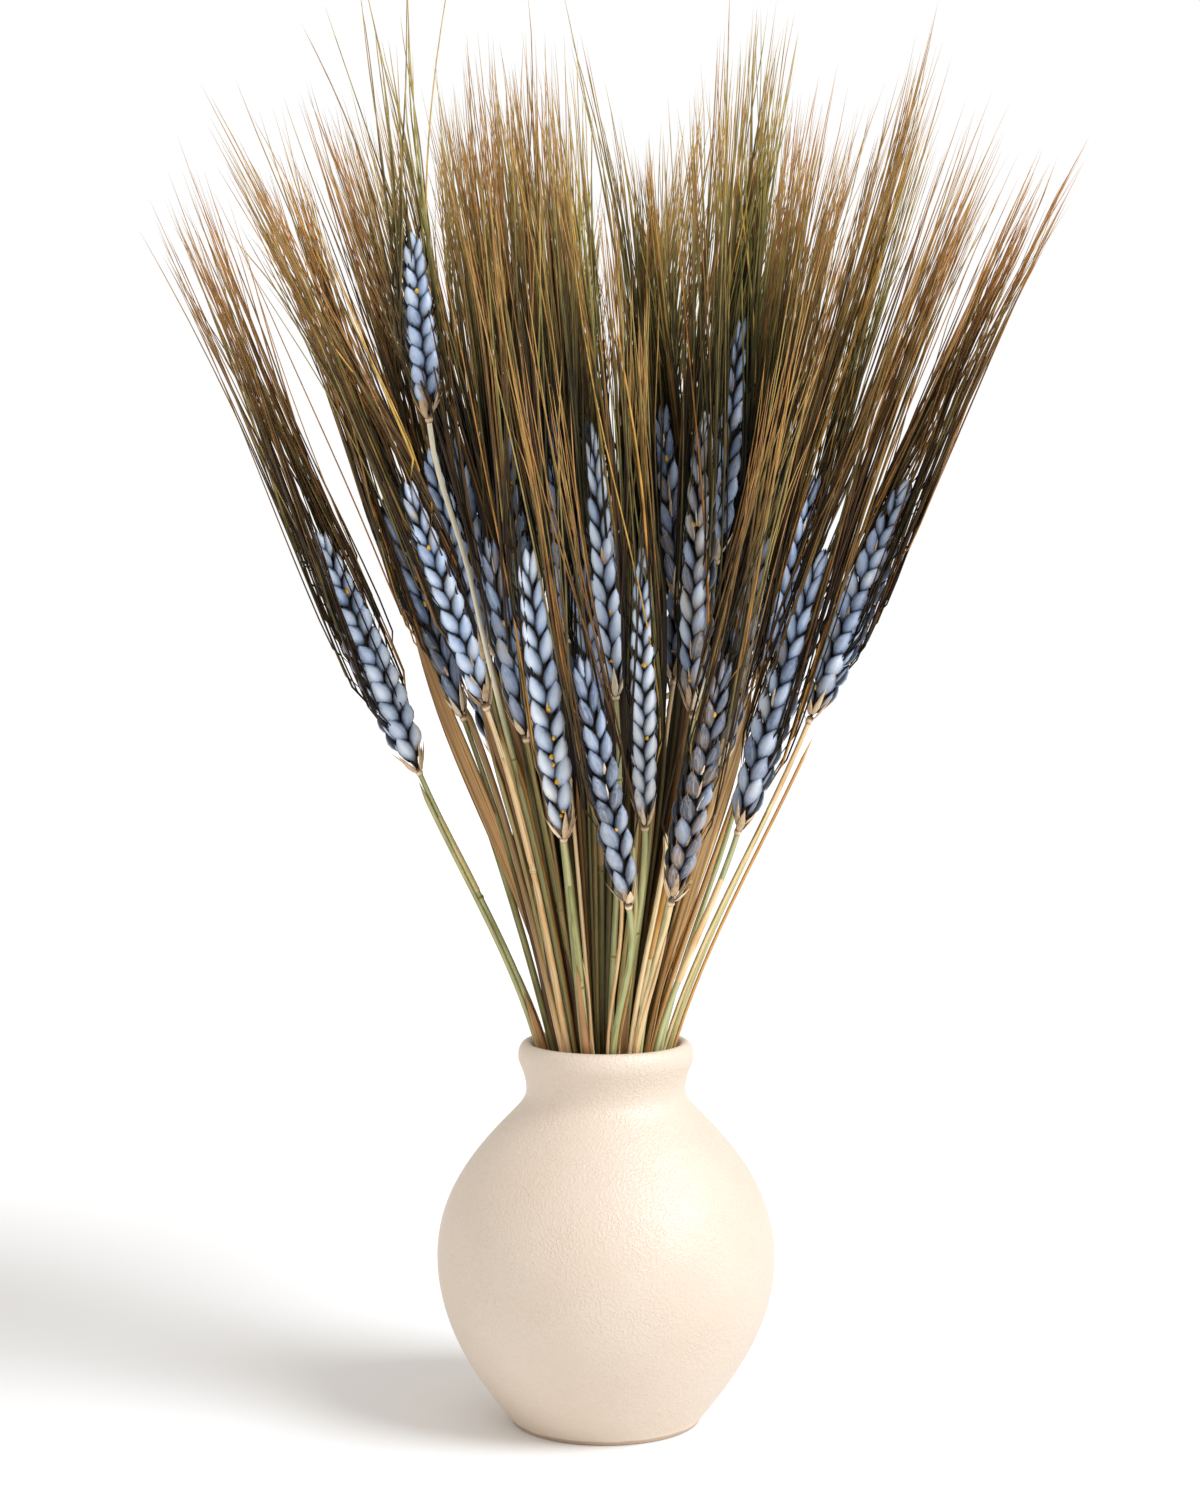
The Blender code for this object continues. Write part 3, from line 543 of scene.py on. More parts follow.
def make_piece(name, shells, nodes):
    """One mesh object from several shells, which stands in for CAD nodes that it hides, with a material slot
    for each finish of its shells.
    """
    finishes = list(dict.fromkeys(shell.finish for shell in shells))
    starts = np.cumsum([0] + [len(shell.points) for shell in shells])
    corners, kinds, sizes = [], [], []
    for field, size in (("quads", 4), ("triangles", 3)):
        for shell, start in zip(shells, starts):
            faces = getattr(shell, field) + start
            corners.append(faces.ravel())
            kinds.append(np.full(len(faces), finishes.index(shell.finish)))
            sizes.append(np.full(len(faces), size))
    corners, kinds, sizes = [np.concatenate(rows).astype(np.int32) for rows in (corners, kinds, sizes)]
    mesh = bpy.data.meshes.new(name)
    mesh.vertices.add(starts[-1])
    mesh.vertices.foreach_set("co", np.concatenate([shell.points for shell in shells]).ravel())
    mesh.loops.add(len(corners))
    mesh.loops.foreach_set("vertex_index", corners)
    mesh.polygons.add(len(sizes))
    mesh.polygons.foreach_set("loop_start", (np.cumsum(sizes) - sizes).astype(np.int32))
    mesh.polygons.foreach_set("material_index", kinds)
    for field, kind, value in (("marks", "FLOAT_COLOR", "color"), ("grain", "FLOAT_VECTOR", "vector")):
        rows = np.concatenate([getattr(shell, field) for shell in shells])
        mesh.attributes.new(field, kind, "POINT").data.foreach_set(value, rows.ravel())
    mesh.update(calc_edges=True)
    if mesh.validate():
        raise RuntimeError(f"{name} has faces that aren't valid")
    mesh.shade_smooth()
    for finish in finishes:
        mesh.materials.append(get_finish(finish))
    piece = bpy.data.objects.new(name, mesh)
    bpy.context.scene.collection.objects.link(piece)
    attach(piece, BODY)
    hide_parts(*nodes)


# Materials


class Nodes:
    """A node tree under way. Each input takes a number, a colour or another node's output."""

    def __init__(self, tree):
        self.tree = tree

    def feed(self, socket, value):
        if isinstance(value, bpy.types.NodeSocket):
            self.tree.links.new(value, socket)
        else:
            socket.default_value = value

    def add(self, kind, inputs=(), **settings):
        made = self.tree.nodes.new(kind)
        for name, value in settings.items():
            setattr(made, name, value)
        for name, value in dict(inputs).items():
            self.feed(made.inputs[name], value)
        return made

    def maths(self, operation, one, two=0.0, clamp=False):
        return self.add("ShaderNodeMath", {0: one, 1: two}, operation=operation, use_clamp=clamp).outputs[0]

    def vectors(self, operation, one, two):
        return self.add("ShaderNodeVectorMath", {0: one, 1: two}, operation=operation).outputs[0]

    def ramp(self, factor, *stops):
        """A colour ramp through stops of position and linear colour, or position and grey value."""
        made = self.add("ShaderNodeValToRGB", {"Fac": factor})
        elements = made.color_ramp.elements
        while len(elements) < len(stops):
            elements.new(1.0)
        for element, (position, value) in zip(elements, stops):
            element.position = position
            element.color = (*np.broadcast_to(value, 3), 1.0)
        return made.outputs["Color"]

    def mix(self, factor, one, two, blend="MIX"):
        """Two colours mixed by a factor."""
        made = self.add("ShaderNodeMix", {0: factor}, data_type="RGBA", blend_type=blend)
        for index, value in ((6, one), (7, two)):
            self.feed(made.inputs[index], value if isinstance(value, bpy.types.NodeSocket) else (*value, 1.0))
        return made.outputs[2]

    def spread(self, value, low, high, first=0.0, last=1.0):
        """A value that runs from first to last, brought to run from low to high and held there beyond."""
        return self.add("ShaderNodeMapRange", {
            "Value": value, "From Min": first, "From Max": last, "To Min": low, "To Max": high,
        }).outputs["Result"]

    def noise(self, vector, scale, detail=2.0, roughness=0.5):
        return self.add("ShaderNodeTexNoise", {
            "Vector": vector, "Scale": scale, "Detail": detail, "Roughness": roughness,
        }).outputs["Fac"]

    def bent(self, place, scale, reach):
        """Coordinates pushed about by a noise, so that lines that follow them wander."""
        shift = self.add("ShaderNodeTexNoise", {"Vector": place, "Scale": scale, "Detail": 1.0})
        centred = self.vectors("SUBTRACT", shift.outputs["Color"], (0.5, 0.5, 0.5))
        scaled = self.add("ShaderNodeVectorMath", {0: centred, "Scale": reach}, operation="SCALE")
        return self.vectors("ADD", place, scaled.outputs[0])

    def object_place(self):
        return self.add("ShaderNodeTexCoord").outputs["Object"]


def plant_fibre():
    """Shared effect: fine lengthwise streaks and a soft mottle, both laid along a shape's own grain."""
    group = bpy.data.node_groups.get("plant_fibre")
    if group:
        return group
    group = bpy.data.node_groups.new("plant_fibre", "ShaderNodeTree")
    group.interface.new_socket("Grain", in_out="INPUT", socket_type="NodeSocketVector")
    for name, default in (("Streaks", 2500.0), ("Breaks", 60.0), ("Mottles", 200.0)):
        name = name + " per Metre"
        socket = group.interface.new_socket(name, in_out="INPUT", socket_type="NodeSocketFloat")
        socket.default_value = default
    for name in ("Streaks", "Mottle"):
        group.interface.new_socket(name, in_out="OUTPUT", socket_type="NodeSocketFloat")
    nodes = Nodes(group)
    grain, streaks, breaks, mottles = list(nodes.add("NodeGroupInput").outputs)[:4]
    found = []
    for sizes, look in (((streaks, streaks, breaks), (3.0, 0.6)), ((mottles, mottles, mottles), (2.0, 0.5))):
        stretch = nodes.add("ShaderNodeCombineXYZ", dict(enumerate(sizes)))
        found.append(nodes.noise(nodes.vectors("MULTIPLY", grain, stretch.outputs[0]), 1.0, *look))
    nodes.add("NodeGroupOutput", dict(enumerate(found)))
    return group


class Surface(Nodes):
    """A material under way: its tree, its shader and the colour that it has so far."""

    def __init__(self, name, roughness=0.5, shine=0.5):
        self.material = bpy.data.materials.new(name)
        self.material.use_nodes = True
        super().__init__(self.material.node_tree)
        self.shader = self.tree.nodes["Principled BSDF"]
        self.shader.inputs["Roughness"].default_value = roughness
        self.shader.inputs["Specular IOR Level"].default_value = shine

    def paint(self, factor, colour):
        """Lays a colour over the one so far, by a factor."""
        self.base = self.mix(factor, self.base, colour)

    def shade(self, *shades):
        """Multiplies the colour so far by each of the shades."""
        for shade in shades:
            self.base = self.mix(1.0, self.base, shade, "MULTIPLY")

    def finish(self, rough, height, depth, strength):
        """Gives the shader its colour, its roughness by a factor, low and high, and its bump by a height."""
        self.feed(self.shader.inputs["Base Color"], self.base)
        if rough is not None:
            self.feed(self.shader.inputs["Roughness"], self.spread(*rough))
        if height is not None:
            bump = self.add("ShaderNodeBump", {"Height": height, "Distance": depth, "Strength": strength})
            self.feed(self.shader.inputs["Normal"], bump.outputs["Normal"])
        return self.material


class Fibrous(Surface):
    """A surface of the plant, with the marks and the grain that its points carry, and its fibre."""

    def __init__(self, name, roughness, streaks, breaks, mottles, shine=0.5):
        super().__init__(name, roughness, shine)
        marks = self.add("ShaderNodeAttribute", attribute_name="marks")
        split = self.add("ShaderNodeSeparateColor", {"Color": marks.outputs["Color"]})
        self.tone, self.share, self.standing_or_light = split.outputs
        self.warmth = marks.outputs["Alpha"]
        self.grain = self.add("ShaderNodeAttribute", attribute_name="grain").outputs["Vector"]
        fibre = self.add("ShaderNodeGroup", {}, node_tree=plant_fibre())
        for index, value in enumerate((self.grain, streaks, breaks, mottles)):
            self.feed(fibre.inputs[index], value)
        self.streaks, self.mottle = fibre.outputs

    def mottled(self, value, amount):
        """A value moved up and down by the mottle, within 0 and 1."""
        moved = self.maths("ADD", value, self.maths("MULTIPLY", self.mottle, amount))
        return self.maths("SUBTRACT", moved, amount / 2.0, clamp=True)


def glaze_finish(name):
    """Matte cream glaze: soft clouding, a leathery relief of fine wrinkles, and a thin brown line round the
    foot.
    """
    settings = bpy.context.scene.vase_settings
    made = Surface(name, shine=0.9)
    place = made.object_place()
    cloud = made.noise(place, 38.0, 3.0, 0.55)
    cream = np.array(settings.glaze)
    made.base = made.mix(made.ramp(cloud, (0.35, 0.0), (0.65, 1.0)), cream * (0.965, 0.95, 0.93), cream)
    specks = made.ramp(made.noise(place, 900.0, 2.0, 0.7), (0.30, 0.30), (0.40, 0.0))
    made.paint(specks, (0.60, 0.48, 0.36))
    height = made.add("ShaderNodeSeparateXYZ", {0: place}).outputs["Z"]
    lifted = made.maths("SUBTRACT", height, made.maths("MULTIPLY", made.noise(place, 160.0), FOOT_LINE_SWAY))
    made.paint(made.spread(lifted, 0.60, 0.0, *FOOT_LINE), (0.33, 0.19, 0.10))
    level = made.noise(made.bent(place, 900.0, 0.0006), 560.0, 1.0, 0.4)
    off = made.maths("ABSOLUTE", made.maths("SUBTRACT", level, 0.5))
    wrinkles = made.maths("MULTIPLY", made.ramp(off, (0.0, 1.0), (0.035, 0.55), (0.09, 0.0)), 0.6)
    relief = made.maths("ADD", wrinkles, made.noise(place, 1500.0, 2.0, 0.6))
    relief = made.maths("MULTIPLY", relief, made.ramp(made.noise(place, 70.0), (0.35, 0.60), (0.65, 1.0)))
    return made.finish((cloud, 0.40, 0.52), relief, settings.relief, 0.7)


def floret_finish(name):
    """Dry floret: lavender-blue to slate, a pale ribbed back, a painted highlight along its keel, and painted
    shade along its edges and where it tucks under the next one.

    Low in the bunch it carries a warm painted tint of light, and at the top a cool one.
    """
    made = Fibrous(name, 0.5, 1900.0, 70.0, 420.0)
    blue = np.array(bpy.context.scene.wheat_settings.floret_colour)
    tone = made.mottled(made.tone, 0.5)
    cool = made.ramp(
        tone, (0.0, blue * (0.12, 0.13, 0.15)), (0.35, blue * (0.42, 0.44, 0.50)), (0.70, blue),
        (1.0, 0.55 * blue + 0.45 * np.array((0.82, 0.84, 0.90))),
    )
    warm = made.ramp(
        tone, (0.0, (0.035, 0.020, 0.014)), (0.45, (0.20, 0.125, 0.085)), (1.0, (0.66, 0.55, 0.42)),
    )
    part = made.maths("SUBTRACT", made.maths("MULTIPLY", made.mottle, 1.4), 0.70)
    part = made.maths("ADD", part, made.warmth)
    made.base = made.mix(made.ramp(part, (0.25, 0.0), (0.75, 1.0)), cool, warm)
    made.paint(made.ramp(made.streaks, (0.44, 0.0), (0.72, 0.40)), (0.76, 0.79, 0.86))
    # Painted highlight: blue-white along the keel and the middle of the floret, stronger on bright florets
    keel_highlight = made.ramp(made.standing_or_light, (0.80, 0.0), (1.0, 1.0))
    belly = made.ramp(made.share, (0.36, 0.0), (0.56, 0.90), (0.80, 0.78), (0.98, 0.0))
    pale = made.maths("MULTIPLY", made.tone, made.tone)
    made.paint(made.maths("MULTIPLY", made.maths("MULTIPLY", keel_highlight, belly), pale), (0.90, 0.93, 1.0))
    # Painted shade: darker towards the floret's edges and where its foot tucks under the floret below, and
    # darker at its very tip
    edge = made.ramp(made.standing_or_light, (0.50, 0.08), (0.61, 0.34), (0.77, 0.70), (0.91, 0.94), (1.0, 1.08))
    ends = made.ramp(
        made.share, (0.14, 0.06), (0.26, 0.50), (0.38, 0.94), (0.50, 1.0), (0.90, 1.0), (1.0, 0.6),
    )
    # Painted tint of light: warm low in the bunch, turning cool higher up
    height = made.add("ShaderNodeSeparateXYZ", {0: made.object_place()}).outputs["Z"]
    rise = made.spread(height, 0.0, 1.0, *LIGHT_TINT_HEIGHTS)
    made.shade(edge, ends, made.mix(rise, (1.0, 0.94, 0.82), (0.95, 1.02, 1.06)))
    return made.finish((made.streaks, 0.24, 0.42), made.streaks, 0.00025, 0.6)


def husk_finish(name):
    """Papery husk: split bracts, collars and the dark axis of an ear, from brown-black to cream."""
    made = Fibrous(name, 0.6, 2600.0, 90.0, 500.0)
    made.base = made.ramp(
        made.mottled(made.tone, 0.4), (0.0, (0.012, 0.008, 0.006)), (0.25, (0.10, 0.055, 0.028)),
        (0.5, (0.36, 0.22, 0.11)), (0.8, (0.86, 0.62, 0.38)), (1.0, (0.95, 0.83, 0.62)),
    )
    made.shade(made.ramp(made.streaks, (0.30, 0.75), (0.62, 1.0)))
    return made.finish((made.mottle, 0.45, 0.75), made.streaks, 0.0002, 0.6)


def anther_finish(name):
    """Golden dried anthers in an ear's groove."""
    made = Fibrous(name, 0.55, 1500.0, 900.0, 1500.0)
    made.base = made.ramp(
        made.mottle, (0.30, (0.42, 0.17, 0.015)), (0.50, (0.78, 0.42, 0.03)), (0.72, (0.92, 0.66, 0.14)),
    )
    return made.finish(None, made.mottle, 0.0003, 0.7)


def awn_finish(name):
    """Awn: near black at its foot, partly its own dark brown and partly painted shade low in the bunch, then
    brown or olive, and golden to orange-tan at its tip; painted shade darkens it deep in the bunch.
    """
    made = Fibrous(name, 0.45, 600.0, 110.0, 40.0, shine=0.25)
    place = made.mottled(made.share, 0.30)
    # Colour along the awn: its near-black foot is partly painted shade low in the bunch
    brown = made.ramp(
        place, (0.0, (0.022, 0.012, 0.006)), (0.20, (0.096, 0.046, 0.016)), (0.45, (0.255, 0.130, 0.044)),
        (0.70, (0.41, 0.205, 0.066)), (1.0, (0.60, 0.30, 0.100)),
    )
    olive = made.ramp(
        place, (0.0, (0.025, 0.021, 0.007)), (0.20, (0.126, 0.110, 0.030)), (0.45, (0.320, 0.285, 0.092)),
        (0.70, (0.42, 0.365, 0.110)), (1.0, (0.60, 0.40, 0.13)),
    )
    made.base = made.mix(made.ramp(made.warmth, (0.2, 0.0), (0.8, 1.0)), brown, olive)
    gold = made.mix(made.warmth, (0.56, 0.225, 0.040), (0.56, 0.37, 0.085))
    made.paint(made.ramp(made.tone, (0.80, 0.0), (0.90, 0.45), (1.0, 0.85)), gold)
    patches = made.ramp(made.streaks, (0.34, 0.45), (0.50, 1.0), (0.68, 1.35))
    # light is painted shade deep in the bunch; depth darkens each strand by a random amount, partly its own
    # colour and partly painted shade, and thin fades that darkening out towards the tip
    light = made.ramp(made.standing_or_light, (0.0, 0.12), (0.5, 0.72), (1.0, 1.0))
    depth = made.ramp(made.tone, (0.0, 0.09), (0.35, 0.40), (0.60, 0.98), (0.80, 1.20))
    thin = made.ramp(made.share, (0.50, 0.0), (0.95, 1.0))
    made.shade(patches, light, made.mix(thin, depth, (1.0, 1.0, 1.0)))
    return made.finish((made.mottle, 0.34, 0.56), made.streaks, 0.0001, 0.5)


def stem_finish(name):
    """Dry stem: sage, straw, peach or brown by its tone, ribbed lengthwise all round, blotched, and darkened
    by painted shade deep in the bunch.
    """
    made = Fibrous(name, 0.5, 1500.0, 26.0, 95.0, shine=0.25)
    made.base = made.ramp(made.mottled(made.tone, 0.22), *STRAW_STOPS)
    made.paint(made.ramp(made.streaks, (0.54, 0.0), (0.70, 0.45)), (0.78, 0.63, 0.32))
    made.paint(made.ramp(made.streaks, (0.30, 0.80), (0.45, 0.0)), (0.24, 0.110, 0.030))
    place = made.add("ShaderNodeSeparateXYZ", {0: made.grain}).outputs
    turn = made.maths("MULTIPLY", made.maths("ARCTAN2", place["Y"], place["X"]), STEM_RIBS)
    wave = made.maths("SINE", made.maths("ADD", turn, made.maths("MULTIPLY", made.mottle, 5.0)))
    wave = made.maths("ADD", made.maths("MULTIPLY", wave, 0.5), 0.5)
    made.shade(made.ramp(wave, (0.0, 0.66), (0.45, 1.0), (1.0, 1.08)))
    made.paint(made.warmth, (1.0, 0.91, 0.70))
    # Painted shade: darker where less painted light reaches the stem in the bunch
    made.shade(made.ramp(made.standing_or_light, (0.0, (0.12, 0.09, 0.05)), (0.5, (0.56, 0.50, 0.41)), (1.0, 1.0)))
    return made.finish((made.streaks, 0.34, 0.62), made.streaks, 0.0003, 0.6)


def leaf_finish(name):
    """Dry leaf or sheath: thin, veined lengthwise, browned in patches, and darkened by painted shade deep in
    the bunch.
    """
    made = Fibrous(name, 0.6, 1900.0, 16.0, 70.0)
    made.base = made.ramp(
        made.mottled(made.tone, 0.30), (0.0, (0.055, 0.025, 0.009)), (0.25, (0.20, 0.095, 0.032)),
        (0.50, (0.48, 0.25, 0.100)), (0.68, (0.70, 0.40, 0.14)), (0.84, (0.80, 0.53, 0.25)),
        (1.0, (0.84, 0.71, 0.46)),
    )
    veins = made.ramp(made.streaks, (0.34, 0.36), (0.52, 1.0), (0.70, 1.35))
    # The veins, and painted shade where less painted light reaches the leaf
    made.shade(veins, made.ramp(made.standing_or_light, (0.0, 0.08), (0.5, 0.50), (1.0, 1.0)))
    return made.finish((made.mottle, 0.45, 0.75), made.streaks, 0.0003, 0.7)


def floor_finish(name):
    """Pale studio floor with a barely visible unevenness."""
    colour = np.array(bpy.context.scene.stage_settings.floor_colour)
    made = Surface(name, 0.85, 0.1)
    made.base = made.mix(made.noise(made.object_place(), 3.0), colour * 0.985, colour)
    return made.finish(None, None, 0.0, 0.0)


FINISHES = {
    "cream_glaze": glaze_finish, "blue_floret": floret_finish, "papery_husk": husk_finish,
    "golden_anther": anther_finish, "bearded_awn": awn_finish, "ribbed_straw": stem_finish,
    "dry_leaf": leaf_finish, "pale_floor": floor_finish,
}


def get_finish(name):
    """The material of that name, made at its first use."""
    return bpy.data.materials.get(name) or FINISHES[name](name)


# Vase


def vase_profile():
    """Radius and height from the underside's middle, up the outside, over the lip and down inside."""
    foot, belly = np.array([FOOT_RADIUS, FOOT_ROUND]), np.array([BELLY_RADIUS, BELLY_HEIGHT])
    shoulder, neck = np.array([SHOULDER_RADIUS, SHOULDER_HEIGHT]), np.array([NECK_RADIUS, NECK_HEIGHT])
    upright, slant = np.array([0.0, BELLY_HANDLE]), np.array([-SHOULDER_HANDLE, SHOULDER_HANDLE])
    rise = np.array([0.0, NECK_HANDLE])
    shares = np.linspace(0.0, 1.0, 19)[1:]
    angle = np.radians(np.linspace(*LIP_ARC, 26))
    lip_size = np.array([LIP_HALF_WIDTH, LIP_HALF_HEIGHT])
    lip = [LIP_MIDDLE, LIP_HEIGHT] + lip_size * np.stack([np.cos(angle), np.sin(angle)], axis=1)
    rising = lip_size * [np.sin(-angle[0]), np.cos(angle[0])]
    outside = np.concatenate([
        [foot],
        cubic(foot, foot + FOOT_FLARE, belly - upright, belly, shares),
        cubic(belly, belly + upright, shoulder - slant, shoulder, shares),
        cubic(shoulder, shoulder + slant / 3.0, neck - rise, neck, shares[::2]),
        cubic(neck, neck + rise, lip[0] - rising * 0.7, lip[0], shares[::3])[:-1],
    ])
    ahead = unit(np.gradient(outside, axis=0))
    inside = outside + np.stack([-ahead[:, 1], ahead[:, 0]], axis=1) * WALL
    inside = inside[inside[:, 1] > FLOOR_HEIGHT + WALL][::-2]
    turn = np.radians(np.linspace(-80.0, -10.0, 5))
    edge = [FOOT_RADIUS, FOOT_ROUND] + FOOT_ROUND * np.stack([np.cos(turn) - 1.0, np.sin(turn)], axis=1)
    under = [
        (0.0, HOLLOW), (FOOT_RADIUS * 0.80, HOLLOW), (FOOT_RADIUS * 0.84, 0.0), (FOOT_RADIUS * 0.96, 0.0),
    ]
    floor = [(FOOT_RADIUS, FLOOR_HEIGHT), (FOOT_RADIUS * 0.5, FLOOR_HEIGHT), (0.0, FLOOR_HEIGHT)]
    return np.concatenate([under, edge, outside, lip, inside, floor])


def make_vase():
    """The profile spun round the axis: x = r cos a, y = r sin a, with r swayed by a hair as if by hand."""
    profile = vase_profile()
    angle = 2.0 * math.pi * np.arange(VASE_STEPS) / VASE_STEPS
    radius, height = profile[1:-1, 0, None], profile[1:-1, 1, None]
    sway = 1.0 + 0.0018 * np.sin(angle * 2.0 + height * 70.0) + 0.0012 * np.sin(angle * 3.0 - height * 110.0)
    radius = radius * sway
    rings = np.stack([radius * np.cos(angle), radius * np.sin(angle), height + 0.0 * radius], axis=-1)
    ends = np.array([[0.0, 0.0, profile[0, 1]], [0.0, 0.0, profile[-1, 1]]])
    points, quads, triangles = skin(rings[None], ends[:1], ends[1:])
    shell = Shell(points, quads, triangles, np.zeros((len(points), 4)), points, "cream_glaze")
    make_piece("glazed_vase", [shell], ["vase"])


# Stems and leaves


def at_height(path, heights):
    """Points where a path that runs upwards passes the heights."""
    return np.stack([np.interp(heights, path[:, 2], path[:, k]) for k in range(3)], axis=-1)


def stem_radius(heights):
    """Radius of a stem, slimmer than the solid one: it narrows from the foot to the mouth and to the top."""
    radii = (STEM_FOOT_RADIUS, STEM_MOUTH_RADIUS, STEM_TOP_RADIUS)
    return STEM_SLIMNESS * np.interp(heights, (FLOOR_HEIGHT, LIP_HEIGHT, STEM_TOP_HEIGHT), radii)


def stem_shells(number, draw):
    """One stem: the stalk, one or two swollen nodes, and a leaf sheath that wraps it above a node."""
    path, look, stalk = STEM_PATHS[number], LOOKS[number], STALKS[number]
    # Painted light: stems of bright ears are painted as fully lit, stems of dark ears take the bunch's
    # painted shade
    least = smooth((look.brightness - 0.35) / 0.25)

    def part(line, size, tone, shift, high=1.0, keel=0.0, warmth=0.0):
        return loft(
            line, FRONT, size, size * high, ring_section(STEM_SIDES, keel=keel), "ribbed_straw",
            tone=tone, warmth=warmth, shift=shift, light=np.maximum(daylight(line), least),
        )

    joint = draw.uniform(*NODE_HEIGHTS)
    stout, change, pale = STEM_CARE.get(number + 1, (1.0, joint, 0.0))
    heights = path[:, 2]
    tone = look.low_tone + (look.high_tone - look.low_tone) * smooth((heights - change) / TONE_CHANGE)
    radius = stem_radius(heights) * (1.0 + (stout - 1.0) * smooth((heights - LIP_HEIGHT) / 0.04))
    under = path[0] - 0.01 * (path[1] - path[0])
    line = np.concatenate([[under], path, [path[-1] + stalk.along * 0.004]])
    shift = any_shift(draw)
    pale = pale * smooth((line[:, 2] - change) / TONE_CHANGE)
    size = np.pad(radius[1:-1], 1, mode="edge")
    shells = [part(line, size, np.pad(tone, 1, mode="edge"), shift, warmth=pale)]
    joints = [joint] if draw.random() < NODE_SHARE else []
    if stalk.foot[2] > TALL_STEM and draw.random() < UPPER_NODE_SHARE:
        joints.append(joint + draw.uniform(*UPPER_NODE_RISE))
    for height in joints:
        line = at_height(path, height + NODE_LENGTH * np.linspace(-0.5, 0.5, 9))
        shells.append(part(line, stem_radius(height) * NODE_SWELL, look.low_tone + NODE_TONES, shift))
    reach = min(draw.uniform(*SHEATH_LENGTHS), stalk.foot[2] - joint - SHEATH_CLEAR)
    if draw.random() < SHEATH_SHARE and reach > SHEATH_LEAST:
        share = np.linspace(0.0, 1.0, 14)
        spots = joint + reach * share
        share = share[1:-1]
        girth = 1.14 + 0.08 * np.sin(5.0 * share) - 0.22 * smooth((share - 0.86) / 0.14)
        tone = np.clip(look.low_tone + draw.uniform(*SHEATH_TONES), 0.0, 1.0)
        size = stem_radius(spots[1:-1]) * girth
        shells.append(part(at_height(path, spots), size, tone, shift + 1.0, high=1.04, keel=0.12))
    return shells


def loose_straws(number, draw):
    """Thin bare straws that stand between a stem and its neighbours: each is the mean of two stems' paths."""
    own = STEM_PATHS[number]
    mouth = np.stack([at_height(path, LIP_HEIGHT) for path in STEM_PATHS])
    near = np.argsort(np.linalg.norm(mouth - mouth[number], axis=1))[1:12]
    near = [other for other in near if not {number, other} & OUTLYING]
    shells = []
    for other in draw.permutation(near)[:LOOSE_STRAWS]:
        path = STEM_PATHS[other]
        drift = draw.uniform(0.40, 0.60), draw.uniform(-0.12, 0.12)
        share = drift[0] + drift[1] * np.linspace(-1.0, 1.0, STRAW_STEPS)[:, None]
        top = min(own[-1, 2], path[-1, 2]) - draw.uniform(0.002, 0.010)
        heights = np.linspace(STRAW_FOOT, top, STRAW_STEPS)
        line = at_height(own, heights) * share + at_height(path, heights) * (1.0 - share)
        # Painted shade deep in the bunch: the straws keep at least 0.18 of the painted light
        shells.append(tube(
            line, draw.uniform(*STRAW_RADII), "ribbed_straw", sides=6,
            tone=draw.choice(STRAW_TONES), shift=any_shift(draw), light=0.18 + 0.82 * daylight(line),
        ))
    return shells


def bare_straws(number, draw):
    """Taller straws that have no ear: they follow a stem up to the mouth, and then lean to their own top."""
    shells = []
    path = STEM_PATHS[number]
    for _, top, radius, tone in [row for row in BARE_STRAWS if row[0] == number + 1]:
        top = np.array(top) / 1000.0
        inside, outside = np.linspace(STRAW_FOOT, LIP_HEIGHT, 8), np.linspace(LIP_HEIGHT, top[2], 16)
        heights = np.concatenate([inside, outside[1:]])
        line = at_height(path, heights)
        share = np.clip((heights - LIP_HEIGHT) / (top[2] - LIP_HEIGHT), 0.0, 1.0)[:, None]
        line = line + (top - line[-1]) * share ** 1.1
        side = np.sign(top[0] - at_height(path, top[2])[0])
        line = line + np.array([1.0, 0.4, 0.0]) * 0.0016 * side * (1.0 - share)
        # Painted shade deep in the bunch, by the painted light given to their points
        shells.append(tube(
            line, radius / 1000.0, "ribbed_straw", sides=8,
            tone=tone, shift=any_shift(draw), light=daylight(line),
        ))
    return shells


def make_stems():
    """Every pair of stems as one piece, with the straws beside them."""
    draw = np.random.default_rng(STEM_SEED)
    for number, pair in enumerate(PAIRS, 1):
        shells = []
        for i in pair:
            shells += stem_shells(i, draw) + loose_straws(i, draw) + bare_straws(i, draw)
        make_piece(f"stalks_{number:02d}", shells, [f"stems_{number:02d}"])


def outline(share, lean, power):
    """Half width of a leaf or a floret along its length: sin(pi * s^lean)^power, never quite nothing."""
    return np.clip(np.sin(math.pi * share ** lean), 0.02, None) ** power


def thin_leaf(line, facing, half_width, tone, curl, least, draw):
    """A thin shell whose long edges curl: a point moves along facing by curl times the square of how far
    it is from the middle line."""
    facing = np.broadcast_to(facing, line.shape)
    section = ring_section(LEAF_SIDES)
    # least is the least painted light on the leaf: painted shade deep in the bunch goes no darker
    shell = loft(
        line, facing, half_width, LEAF_HALF_THICKNESS, section, "dry_leaf",
        tone=tone, shift=any_shift(draw), light=np.maximum(daylight(line), least),
    )
    inner = np.tile(section[:, 0], LEAF_STEPS - 2) * np.repeat(half_width, LEAF_SIDES)
    shell.points[1:-1] += np.repeat(facing[1:-1], LEAF_SIDES, axis=0) * (curl * inner ** 2)[:, None]
    return shell


